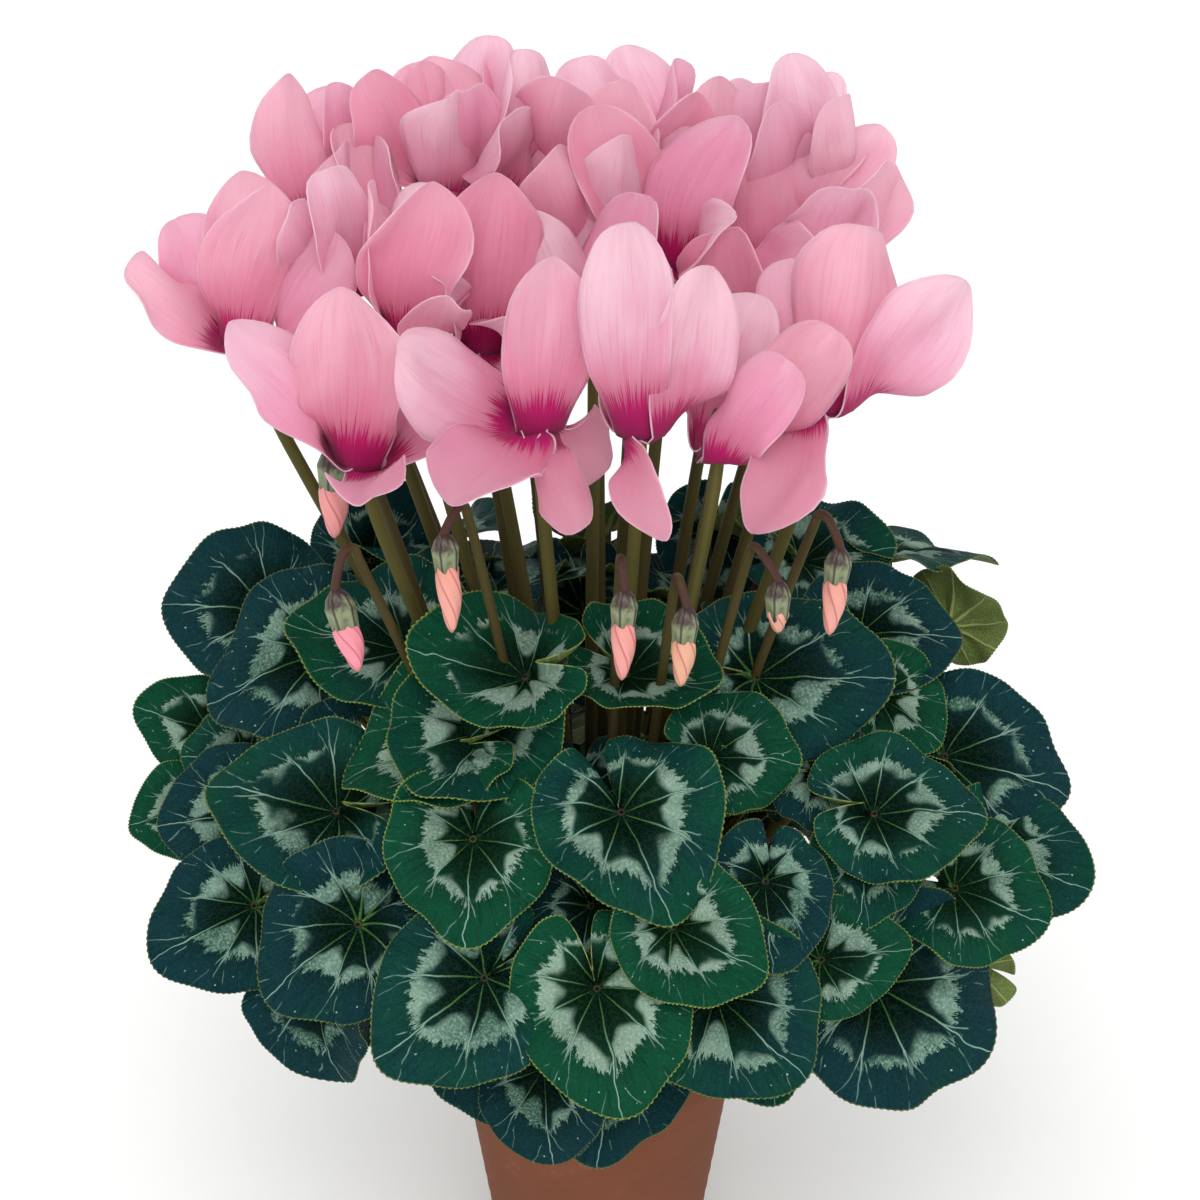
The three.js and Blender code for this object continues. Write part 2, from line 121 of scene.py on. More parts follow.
# Leaves: x, y, z of the joint, way the face looks round the plant, its tilt above level, turn of
# the tip from downhill, width, cupping, folding, curl of the tip, and age, which makes it bluer.
# Angles are in degrees. A way of 0 is to the front, and positive goes to the right.
LEAVES = (
    (8, -92, 252, 5, 58, 20, 64, 0.05, 0, 0.08, 0.5),
    (-41, -93, 242, -10, 50, 5, 57, 0.05, 0, 0.08, 0.1),
    (-88, -64, 234, -15, 50, -92, 64, 0.05, 0, 0.08, 0.5),
    (54, -38, 271, 12, 46, 80, 66, 0.03, 0, 0.05, 0.7),
    (0, -126, 205, -3, 36, 14, 63, 0, 0, 0.08, 0.1),
    (-37, -120, 205, 0, 36, -52, 65, 0, 0, 0.08, 0.6),
    (25, -115, 222, 7, 42, 57, 51, 0.05, 0, 0, 0.1),
    (56, -96, 227, 20, 42, -15, 47, 0.03, 0, 0.05, 0.8),
    (40, -116, 195, 5, 34, 44, 63, 0, 0, 0.08, 0.6),
    (95, -84, 176, 16, 26, 52, 78, 0, 0, 0.1, 0.9),
    (93, -70, 237, 6, 56, 87, 56, 0, 0.05, 0.05, 0.5),
    (122, -66, 204, 10, 44, 63, 53, 0, 0, 0.08, 0.3),
    (121, -20, 228, 15, 44, 66, 67, 0, 0, 0.1, 1.0),
    (92, 10, 260, 5, 46, 85, 53, 0.03, 0, 0.05, 0.9),
    (-116, 30, 257, -10, 46, -90, 62, 0, 0, 0.08, 0.9),
    (-97, 0, 258, -15, 46, -58, 65, 0, 0, 0.08, 1.0),
    (-119, -40, 217, -15, 48, -76, 52, 0, 0, 0.1, 1.0),
    (-117, -68, 198, -12, 36, -56, 58, 0, 0, 0.1, 1.0),
    (-80, -92, 207, -8, 42, -48, 62, 0, 0, 0.08, 0.9),
    (-18, -106, 157, -14, 18, 8, 50, 0, 0, 0.1, 1.0),
    (118, 62, 214, 118, 42, -10, 64, 0, 0, 0.08, 0.8),
    (80, 104, 206, 143, 38, 12, 62, 0, 0, 0.08, 0.6),
    (26, 122, 200, 168, 34, -8, 66, 0, 0, 0.08, 0.7),
    (-30, 120, 203, -166, 36, 10, 62, 0, 0, 0.08, 0.5),
    (-84, 100, 208, -140, 38, -12, 64, 0, 0, 0.08, 0.9),
    (-124, 60, 206, -116, 38, 14, 58, 0, 0, 0.08, 0.7),
    (62, 70, 258, 140, 58, 20, 60, 0.03, 0, 0.05, 0.5),
    (4, 84, 262, 176, 56, -15, 62, 0.03, 0, 0.05, 0.7),
    (-56, 74, 258, -143, 58, 12, 60, 0.03, 0, 0.05, 0.8),
    (-138, 12, 219, -10, 42, -100, 40, 0, 0, 0.05, 0.1),
)

# The younger and lower leaves that fill the dome between those.
FILL_LEAVES = (
    (-37, -58, 263, -10, 62, -15, 60, 0.12, 0, 0, 0.4),
    (-49, -64, 257, -25, 66, -62, 58, 0.05, 0.1, 0.05, 0.1),
    (-24, -54, 281, -10, 60, -85, 54, 0.15, 0, 0, 0.2),
    (10, -44, 276, 10, 68, 55, 50, 0.18, 0, 0, 0.2),
    (38, -66, 257, 15, 52, 75, 45, 0.03, 0, 0, 0.3),
    (75, -100, 198, 10, 30, 92, 44, 0, 0, 0.05, 0.3),
    (74, -56, 243, 20, 58, 75, 46, 0, 0, 0.1, 0.9),
    (91, -74, 224, 20, 52, -25, 42, 0, 0, 0.05, 0.4),
    (136, -40, 202, 20, 40, 55, 54, 0, 0, 0.05, 0.5),
    (98, -14, 249, 15, 48, 42, 42, 0, 0, 0.05, 0),
    (73, 50, 267, 10, 64, 85, 50, 0.03, 0, 0, 0.6),
    (-144, -5, 196, -15, 40, -68, 36, 0, 0, 0, 0.2),
    (-94, -84, 176, -40, 12, 14, 54, 0, 0.2, 0.1, 0.9),
    (-82, 70, 255, 0, 20, 170, 50, 0, 0, 0, 1.0),
    (-66, -20, 272, -10, 62, -86, 60, 0.1, 0, 0, 0.4),
    (-55, 25, 265, -5, 52, -30, 44, 0, 0, 0, 0.6),
    (-2, -100, 220, 0, 44, 30, 46, 0, 0, 0, 0.9),
    (-124, -10, 220, -12, 42, -88, 36, 0, 0, 0, 0.4),
    (42, 80, 262, 10, 30, -10, 44, 0, 0, 0, 0.9),
    (106, 70, 257, 170, 68, -90, 60, 0, 0, 0, 0.6),
    (127, 45, 243, 150, 8, 185, 40, 0, 0, 0, 0.4),
    (127, -60, 168, 150, 5, 100, 46, 0, 0, 0, 0.5),
    (-5, 60, 240, 0, 62, 10, 62, 0.03, 0, 0.05, 0.9),
    (-77, -46, 238, -25, 48, 20, 64, 0.03, 0, 0.05, 0.8),
)

# Flowers: place of the nose, then five petals: way it leans, rise above level, turn about its
# own length, length and width.
FLOWERS = (
    ((-76, -52, 362), ((-160, 80, 0, 60, 38), (-95, 55, 55, 64, 26), (165, 40, 30, 50, 26),
                       (120, 35, -20, 48, 26), (5, 15, 0, 44, 20))),
    ((-19, -56, 377), ((145, 80, 0, 58, 28), (-80, 30, 20, 56, 30), (-40, -15, 10, 44, 32),
                       (15, -25, 30, 46, 5), (135, -40, 10, 44, 20))),
    ((14, -62, 378), ((-150, 80, 0, 70, 26), (115, 66, 10, 60, 24), (-155, 35, 40, 48, 22),
                      (5, -25, 15, 46, 5), (175, 60, 0, 56, 18))),
    ((39, -58, 369), ((145, 40, 15, 52, 24), (90, 50, 20, 58, 22), (160, 50, 0, 54, 24),
                      (60, 60, -30, 44, 18), (-170, 40, 60, 48, 18))),
    ((73, -48, 380), ((120, 75, 0, 62, 34), (90, 45, 10, 64, 28), (145, 50, 60, 50, 20),
                      (-30, -30, 0, 52, 17), (-165, 45, 0, 50, 24))),
    ((-116, -6, 382), ((140, 80, 0, 56, 26), (85, 55, -20, 50, 32), (-95, 38, 40, 48, 26),
                       (-175, 50, 0, 60, 32), (-135, 40, 0, 50, 24))),
    ((-82, 12, 394), ((-30, 70, 40, 50, 20), (-45, 60, 60, 46, 16), (-175, 55, 50, 50, 18),
                      (165, 55, -50, 52, 18), (180, 50, 20, 58, 22))),
    ((-61, -14, 388), ((150, 80, 0, 54, 34), (-120, 75, 75, 54, 16), (-160, 45, 40, 50, 20),
                       (25, 45, 50, 40, 16), (170, 50, 0, 54, 28))),
    ((-38, 0, 378), ((165, 80, 0, 60, 36), (160, 50, 20, 52, 26), (-20, 50, 60, 44, 16),
                     (20, 30, 0, 40, 18), (-170, 50, 65, 52, 16))),
    ((-1, 4, 376), ((-145, 45, 20, 60, 24), (-100, 65, 30, 52, 22), (115, 75, 0, 56, 26),
                    (-170, 50, 0, 50, 22), (155, 35, 30, 46, 20))),
    ((25, 30, 395), ((105, 70, -10, 56, 32), (-105, 65, 20, 60, 26), (30, 35, -40, 46, 18),
                     (-175, 40, 50, 48, 18), (175, 50, 0, 52, 24))),
    ((50, 24, 384), ((45, 40, 0, 46, 30), (160, 50, 0, 52, 26), (-20, 52, 0, 42, 26),
                     (-175, 45, 20, 50, 24), (170, 20, 0, 44, 20))),
    ((74, 64, 398), ((-130, 80, 20, 56, 26), (180, 50, -50, 50, 22), (-155, 50, 40, 48, 22),
                     (30, 70, 60, 50, 18), (-35, 65, 40, 48, 22))),
    ((77, 34, 392), ((155, 50, 0, 54, 32), (50, 65, 50, 48, 18), (140, 35, 0, 48, 24),
                     (10, 60, 20, 46, 26), (-165, 50, 0, 48, 24))),
    ((-93, 40, 406), ((-120, 75, 20, 52, 20), (160, 50, 20, 48, 20), (-160, 40, 30, 46, 18),
                      (175, 45, 0, 48, 22), (155, 35, 30, 46, 18))),
    ((-50, 52, 412), ((-90, 55, 0, 50, 26), (-170, 50, 0, 48, 30), (-150, 50, 20, 46, 22),
                      (0, 65, 30, 46, 18), (30, 65, 20, 44, 18))),
    ((-31, 58, 415), ((130, 80, 20, 44, 28), (60, 55, 0, 46, 26), (5, 50, 30, 40, 26),
                      (-175, 40, 50, 46, 18), (-165, 50, 0, 50, 24))),
    ((0, 36, 395), ((-40, 70, 20, 48, 32), (30, 75, 30, 48, 18), (180, 55, 0, 50, 22),
                    (160, 40, 20, 48, 20), (-150, 50, 20, 50, 24))),
    ((15, 70, 402), ((180, 55, 0, 54, 28), (-145, 50, 0, 52, 28), (150, 50, 40, 50, 18),
                     (55, 60, 20, 48, 22), (-45, 70, 0, 48, 22))),
    ((48, 66, 394), ((-120, 75, 0, 52, 26), (170, 50, 10, 50, 22), (120, 80, 40, 50, 18),
                     (-40, 55, 20, 48, 22), (155, 45, 20, 48, 22))),
)

# How pale a petal may be, and the flowers whose petals may be paler, up to a white tip. The
# paling is partly the petals' own colour and partly painted highlight.
PALENESS = (0.1, 0.35, 0.6, 0.8, 1.0)
PALE_FLOWERS = (2, 3, 5, 13, 14)
MORE_PALENESS = (0.6, 0.9, 1.1, 1.2)

# Turn of a bud's closed petals from calyx to tip, in petals.
FURL = 2.2

# Buds: top of the hooked stalk, top of the calyx, tip of the closed petals, calyx radius, and
# how pink the petals are.
BUDS = (
    ((-82, -66, 335), (-85, -68, 322), (-78, -76, 296), 4.8, 0.9),
    ((-45, -72, 354), (-49, -74, 346), (-47, -78, 312), 4.2, 0.3),
    ((-84, -36, 366), (-86, -37, 358), (-87, -40, 326), 5.2, 0.6),
    ((8, -76, 336), (9, -79, 328), (8, -83, 297), 4.2, 0.45),
    ((27, -74, 328), (29, -78, 321), (27, -82, 294), 4.2, 0.0),
    ((53, -62, 333), (59, -66, 324), (59, -68, 306), 4.0, 0.1),
    ((75, -58, 343), (79, -62, 334), (76, -66, 304), 4.2, 0.3),
)


def ring_of_leaves(count, radius, height, tilt, width, first, sweep=360):
    """Rows for leaves that stand evenly round the plant, with small seeded differences."""
    rng = np.random.default_rng(count)
    rows = []
    for i in range(count):
        facing = first + sweep * i / count + rng.uniform(-9, 9)
        out = radius * rng.uniform(0.88, 1.06)
        place = (out * math.sin(math.radians(facing)), -out * math.cos(math.radians(facing)),
                 height + rng.uniform(-9, 9))
        rows.append((*place, facing, tilt + rng.uniform(-8, 8), rng.uniform(-50, 50),
                     width + rng.uniform(-5, 5), 0.03, 0, 0.06, rng.uniform(0.4, 1)))
    return rows


# Leaves that the outer ones hide, lower down and further in.
UNDER_LEAVES = (ring_of_leaves(12, 88, 158, 32, 58, 9) + ring_of_leaves(6, 46, 192, 52, 56, 20)
                + ring_of_leaves(7, 66, 182, 42, 60, -6))

# Leaves of the dome's back half, and round the flower stalks on its top.
BACK_LEAVES = (ring_of_leaves(8, 100, 234, 46, 58, 92, 190)
               + ring_of_leaves(8, 66, 250, 80, 56, 85, 220)
               + ring_of_leaves(3, 50, 240, 72, 54, -40, 120))


def linear(code):
    """A colour code of six hex digits as linear red, green and blue."""
    values = [int(code[i:i + 2], 16) / 255 for i in (0, 2, 4)]
    return tuple(v / 12.92 if v <= 0.04045 else ((v + 0.055) / 1.055) ** 2.4 for v in values)


# ---- what a user would change ----
def colour(name, description, code):
    return FloatVectorProperty(name=name, description=description, subtype="COLOR", size=3,
                               min=0, max=1, default=linear(code))


def length(name, description, default):
    return FloatProperty(name=name, description=description, unit="LENGTH", min=0,
                         default=default * MM, precision=4)


def strength(name, description, default):
    return FloatProperty(name=name, description=description, min=0, default=default)


class PlantSizes(PropertyGroup):
    blade: length("Blade thickness", "Thickness of a leaf blade at its middle", 0.7)
    tooth: length("Tooth height", "How far a tooth stands out of a leaf's margin", 0.5)
    leaf_stalk: length("Leaf stalk radius", "Radius of a leaf's stalk", 1.6)
    petal: length("Petal thickness", "Thickness of a petal at its middle", 0.8)
    nose: length("Nose radius", "Radius of the tube that the petals spring from", 5.2)
    flower_stalk: length("Flower stalk radius", "Radius of a flower's stalk", 2.3)
    bud_stalk: length("Bud stalk radius", "Radius of a bud's stalk", 1.6)


class PlantColours(PropertyGroup):
    clay: colour("Clay", "Colour of the pot", "7f4c34")
    peat: colour("Soil", "Colour of the potting soil", "2c211a")
    cork: colour("Corm", "Colour of the corm's skin", "6a513c")
    leaf_old: colour("Older leaf", "Outer zone of an older leaf", "0d2f35")
    leaf_young: colour("Younger leaf", "Outer zone of a younger leaf", "0b422c")
    leaf_band: colour("Leaf band", "Silver band of a leaf", "6e8e7e")
    leaf_under: colour("Leaf underside", "Colour of a leaf's underside", "6a7b42")
    petal: colour("Petal", "Colour of the petals", "eaa4c2")
    petal_tip: colour("Petal tip", "Paler colour towards a petal's tip", "eed2df")
    eye: colour("Petal base", "Deep colour at the base of a petal", "a80a58")
    stalk: colour("Stalk", "Colour of the stalks", "5c592b")
    calyx: colour("Calyx", "Colour of the calyx", "8f9a78")
    bud: colour("Pink bud", "Colour of the pinkest closed petals", "e88b9d")


class StageSettings(PropertyGroup):
    key: strength("Key light", "Strength of the main light", 0.66)
    fill: strength("Fill light", "Strength of the light at the front", 0.92)
    sky: strength("Surrounding light", "Strength of the light all round", 0.84)
    floor: colour("Floor", "Colour of the floor", "fafaf9")


# ---- shader maths ----
class Nodes:
    """A shader's node tree, with the one method that adds nodes to it."""

    def __init__(self, tree):
        self.tree = tree

    def feed(self, socket, value):
        """Links a value to a socket, or sets the socket to a number, vector or colour."""
        if isinstance(value, Value):
            self.tree.links.new(value.socket, socket)
            return
        if isinstance(value, str):
            value = linear(value)
        socket.default_value = (*value, 1) if socket.type == "RGBA" else value

    def node(self, kind, settings=None, inputs=None, output=0):
        """Any node: its settings go in first, then the values and links of its sockets."""
        made = self.tree.nodes.new(kind)
        for key, value in (settings or {}).items():
            setattr(made, key, value)
        for key, value in (inputs or {}).items():
            self.feed(made.inputs[key], value)
        return Value(self.tree, made.outputs[output])


class Value(Nodes):
    """Something that changes over a surface. Python's operators on it add Math nodes."""

    def __init__(self, tree, socket):
        super().__init__(tree)
        self.socket = socket

    def math(self, operation, *values):
        return self.node("ShaderNodeMath", {"operation": operation}, dict(enumerate(values)))

    def __add__(self, other):
        return self.math("ADD", self, other)

    def __radd__(self, other):
        return self.math("ADD", other, self)

    def __sub__(self, other):
        return self.math("SUBTRACT", self, other)

    def __rsub__(self, other):
        return self.math("SUBTRACT", other, self)

    def __mul__(self, other):
        return self.math("MULTIPLY", self, other)

    def __rmul__(self, other):
        return self.math("MULTIPLY", other, self)

    def __truediv__(self, other):
        return self.math("DIVIDE", self, other)

    def __pow__(self, other):
        return self.math("POWER", self, other)

    def __abs__(self):
        return self.math("ABSOLUTE", self)

    def exp(self):
        return self.math("EXPONENT", self)

    def bell(self, width):
        """1 where the value is 0, falling to nothing over the width."""
        return (self * self * (-1 / width ** 2)).exp()

    def most(self, other):
        return self.math("MAXIMUM", self, other)

    def floor(self):
        return self.math("FLOOR", self)

    def fold(self, span):
        """Runs from 0 up to the span and back again."""
        return self.math("PINGPONG", self, span)

    def step(self, low, high):
        """0 below low, 1 above high, and smooth between them."""
        settings = {"interpolation_type": "SMOOTHSTEP"}
        inputs = {"Value": self, "From Min": low, "From Max": high}
        return self.node("ShaderNodeMapRange", settings, inputs)


class Finish(Nodes):
    """A material with one principled shader, whose constants are set on its own sockets."""

    def __init__(self, name, **constants):
        self.material = bpy.data.materials.new(name)
        self.material.use_nodes = True
        super().__init__(self.material.node_tree)
        self.shader = self.tree.nodes["Principled BSDF"]
        for key, value in constants.items():
            name = key.replace("_", " ").title().replace("Ior", "IOR")
            self.feed(self.shader.inputs[name], value)

    def mix(self, low, high, factor):
        """A colour between two colours. A Mix node's sockets 6 and 7 are its colours."""
        inputs = {0: factor, 6: low, 7: high}
        return self.node("ShaderNodeMix", {"data_type": "RGBA"}, inputs, 2)

    def parts(self, vector):
        kind = "ShaderNodeSeparateXYZ"
        return [self.node(kind, None, {0: vector}, i) for i in range(3)]

    def vector(self, x, y, z=0.0):
        return self.node("ShaderNodeCombineXYZ", None, {0: x, 1: y, 2: z})

    def map(self, name):
        """Both numbers of one of the mesh's maps."""
        return self.parts(self.node("ShaderNodeUVMap", {"uv_map": name}))[:2]

    def traits(self):
        """The numbers that are the same all over a piece."""
        return self.parts(self.node("ShaderNodeAttribute", {"attribute_name": "traits"}))

    def noise(self, vector, scale, detail=2.0, roughness=0.5):
        """Cloudy variation round 0, from about -0.5 to 0.5."""
        inputs = {"Vector": vector, "Scale": scale, "Detail": detail, "Roughness": roughness}
        return self.node("ShaderNodeTexNoise", None, inputs) - 0.5

    def cells(self, vector, scale, feature="F1"):
        """Distance in a pattern of cells: to their middles, or to their edges."""
        inputs = {"Vector": vector, "Scale": scale}
        return self.node("ShaderNodeTexVoronoi", {"feature": feature}, inputs)

    def place(self):
        """The place on the object, in metres."""
        return self.node("ShaderNodeTexCoord", None, None, 3)

    def close(self, colour, roughness, height, distance):
        """Feeds the shader: colour, roughness and relief, whose distance is in millimetres."""
        relief = {"Height": height, "Distance": distance * MM}
        self.feed(self.shader.inputs["Base Color"], colour)
        self.feed(self.shader.inputs["Roughness"], roughness)
        self.feed(self.shader.inputs["Normal"], self.node("ShaderNodeBump", None, relief))
        return self.material

    def let_light_through(self, colour, share):
        """Turns that share of the surface translucent, as a thin petal is."""
        through = self.node("ShaderNodeBsdfTranslucent", None, {"Color": colour})
        solid = Value(self.tree, self.shader.outputs[0])
        mixed = self.node("ShaderNodeMixShader", None, {0: share, 1: solid, 2: through})
        self.feed(self.tree.nodes["Material Output"].inputs["Surface"], mixed)


def clay_finish(colours):
    finish = Finish("clay", specular_ior_level=0.25)
    place = finish.place()
    blotch = finish.noise(place, 28, 4)
    grain = finish.noise(place, 700, 3)
    bloom = finish.noise(place, 60, 5, 0.65).step(0.08, 0.3)
    base = finish.mix("673c2a", colours.clay, blotch + 0.5)
    worn = finish.mix(base, "96684e", bloom * 0.5)
    speckled = finish.mix(worn, "54301f", grain.step(0.12, 0.3) * 0.5)
    return finish.close(speckled, 0.86 + blotch * 0.12, grain + blotch, 0.25)


def peat_finish(colours):
    finish = Finish("peat", specular_ior_level=0.2)
    place = finish.place()
    crumbs = finish.cells(place, 420)
    damp = finish.noise(place, 90, 4)
    base = finish.mix(colours.peat, "4a3a2c", crumbs.step(0.2, 0.7))
    fibre = finish.mix(base, "7a6446", damp.step(0.12, 0.28) * 0.6)
    return finish.close(fibre, 0.93 + damp * 0.1, crumbs, 0.9)


def cork_finish(colours):
    finish = Finish("cork", specular_ior_level=0.3)
    place = finish.place()
    plates = finish.cells(place, 160, "DISTANCE_TO_EDGE")
    stain = finish.noise(place, 70, 4)
    base = finish.mix("2e2219", colours.cork, plates.step(0.0, 0.16))
    shade = finish.mix(base, "8a6f52", stain.step(0.05, 0.3) * 0.6)
    return finish.close(shade, 0.85 + stain * 0.1, plates, 0.5)


# Where the silver band starts and ends, as shares of the way from the joint to the margin.
BAND_START = 0.43
BAND_END = 0.625


def leaf_finish(colours):
    """The upper face: dark centre, silver band, outer zone, veins, flecks and beaded margin.
    Painted shade deepens the centre and darkens the band in patches.
    """
    finish = Finish("leaf_face", specular_ior_level=0.03)
    across, along = finish.map("blade")
    turn, share = finish.map("polar")
    edge = finish.map("margin")[1]
    seed, age, band_gain = finish.traits()
    angle = (turn - 0.5) * (2 * math.pi)
    place = finish.vector(across, along, seed * 17)
    wobble = finish.noise(place, 4.5, 2)
    reach = ((across - 0.5) ** 2 + (along - 0.5) ** 2) ** 0.5

    bent_angle = angle * (0.93 + share * 0.1 + seed * 0.2) + wobble * 0.2
    vein_angle = abs(bent_angle).fold(VEIN_SPACING / 2)
    between = vein_angle * (2 / VEIN_SPACING)
    off_vein = vein_angle * reach
    midrib = angle.bell(0.12)
    sector = (bent_angle / VEIN_SPACING).floor()
    patch_luck = finish.noise(finish.vector(sector * 1.7, seed * 31), 1.3, 0)

    rays = finish.vector(angle * 5, share * 2.2, seed * 9)
    ragged = finish.noise(rays, 3.6, 5, 0.75)
    inner = BAND_START + (1 - between) ** 2 * 0.14 + midrib * 0.06
    inner = inner + wobble * 0.5 + patch_luck * 0.85
    spur = off_vein.bell(0.01) * 0.15
    outer = BAND_END + ragged * 0.46 + wobble * 0.2 + spur
    outer = outer + band_gain * 0.07 + patch_luck * 0.2
    band = (share - inner).step(-0.05, 0.06) * (outer - share).step(-0.003, 0.01)
    groove = (off_vein + midrib * -0.006).step(0.002, 0.01)

    patches = finish.noise(place, 2.6, 2)
    youth = (1 - age + patches * 1.1 + share * 0.25 - 0.2).step(0.1, 0.9)
    zone = finish.mix(colours.leaf_old, colours.leaf_young, youth)
    # Painted shade: the dark centre is the leaf's own pattern, deepened near the joint and spread
    # out to the band by painted shade.
    centre_shade = finish.mix("04150f", "071e0e", youth)
    shaded = finish.mix(centre_shade, zone, share.step(0.25, 0.85))
    streaks = finish.noise(finish.vector(angle * 14, share * 1.5, seed * 4), 2.4, 3, 0.6)
    # Near-black streaks: partly the leaf's own striation, partly painted shade.
    base = finish.mix(shaded, "020e0b", streaks.step(-0.05, 0.3) * 0.5)
    fine = finish.noise(finish.vector(across, along, seed), 70, 3, 0.6)
    # Painted shade: the band's own tone varies, and it is darkened in patches and on older leaves
    # as painted shade.
    band_with_painted_shade = finish.mix("284f40", colours.leaf_band, 0.5 + patches * 2.6 - age * 0.1)
    bright = finish.mix(band_with_painted_shade, "96ac95", youth * 0.45)
    silver = finish.mix(bright, "a0b8ab", fine * 2.2 + 0.12)
    dotted = band * groove * (1 - finish.noise(place, 75, 2).step(0.2, 0.28) * 0.6)
    patterned = finish.mix(base, silver, dotted)

    width = 0.008 - share * 0.004
    vein = 1 - (off_vein / width).step(0.4, 1.1)
    fork_gap = abs(vein_angle - (share - 0.52).most(0.0) * 0.42) * reach
    fork = (1 - (fork_gap / 0.004).step(0.4, 1.2)) * share.step(0.48, 0.56)
    broken = finish.noise(rays, 2.3, 1).step(-0.06, 0.08)
    lit = vein.most(fork * broken * 0.8)
    fading = 1 - share.step(0.6, 0.85) * (1 - midrib) * (1 - broken * 0.5)
    vein_colour = finish.mix("47703a", "8fb3a2", share.step(0.25, 0.6))
    veined = finish.mix(patterned, vein_colour, lit * fading * share.step(0.02, 0.08) * 0.75)

    spots = finish.cells(finish.vector(angle * 5, share * 4.5, seed * 5), 1.7)
    flecks = (1 - spots.step(0.05, 0.1)) * share.step(0.7, 0.78) * (1 - edge.step(0.93, 0.97))
    flecked = finish.mix(veined, "a9c8b8", flecks * 0.7)
    net = finish.cells(place, 34, "DISTANCE_TO_EDGE")
    netted = finish.mix(flecked, "2f6b52", (1 - net.step(0.0, 0.1)) * 0.1)
    bead = (turn * TEETH).fold(0.5).step(0.1, 0.35)
    margin = edge.step(0.986, 0.995) * (0.3 + bead * 0.5) * (1 - age * 0.55)
    edged = finish.mix(netted, "97a552", margin)

    relief = net.step(0.0, 0.2) * 0.6 + fine * 0.6 - lit * 0.6
    return finish.close(edged, 0.5 + fine * 0.25 + band * 0.1, relief, 0.3)


def underside_finish(colours):
    finish = Finish("leaf_underside", specular_ior_level=0.1)
    across, along = finish.map("blade")
    turn, share = finish.map("polar")
    seed = finish.traits()[0]
    angle = abs((turn - 0.5) * (2 * math.pi))
    place = finish.vector(across, along, seed * 17)
    cloud = finish.noise(place, 5, 3)
    reach = ((across - 0.5) ** 2 + (along - 0.5) ** 2) ** 0.5
    gap = (angle * (1 + share * 0.1) + cloud * 0.15).fold(VEIN_SPACING / 2) * reach
    vein = 1 - (gap / (0.018 - share * 0.01)).step(0.5, 1.2)
    net = 1 - finish.cells(place, 30, "DISTANCE_TO_EDGE").step(0.0, 0.12)
    base = finish.mix("46592f", colours.leaf_under, cloud + 0.5)
    flushed = finish.mix(base, "7a4a48", cloud.step(0.1, 0.35) * 0.35)
    veined = finish.mix(flushed, "93a05e", vein.most(net * 0.35))
    return finish.close(veined, 0.55 + cloud * 0.2, vein + net * 0.4, 0.3)


def stalk_finish(colours):
    finish = Finish("stalk", specular_ior_level=0.12)
    around, along = finish.map("stalk")
    seed, _, purple = finish.traits()
    stripe = finish.noise(finish.vector(around * 9, along * 1.2, seed * 9), 1, 3)
    cloud = finish.noise(finish.vector(around, along * 2, seed * 5), 3, 2)
    down = finish.noise(finish.place(), 1500, 2)
    flush = (along - 0.55 + cloud * 0.8 + purple * 0.35).step(0.0, 0.6)
    base = finish.mix(colours.stalk, "452a2a", flush * 0.9)
    streaked = stripe.step(0.05, 0.3) * (1 - flush * 0.8) * 0.5
    striped = finish.mix(base, "736e3c", streaked)
    dusty = finish.mix(striped, "8d8468", down.step(0.1, 0.35) * 0.2)
    # Painted shade: the stalk turns near-black towards its base, under the leaves.
    painted_shade_at_base = finish.mix("1f120f", dusty, (along + cloud * 0.2).step(0.1, 0.6))
    return finish.close(painted_shade_at_base, 0.58 + cloud * 0.2, down + stripe, 0.15)


# Share of the light that a petal lets through, and what its deep base holds back of that.
PETAL_GLOW = 0.53
EYE_HOLDS_BACK = 0.5

# Where the deep base of a petal gives way to its pink, as a share of its length.
EYE_END = 0.24


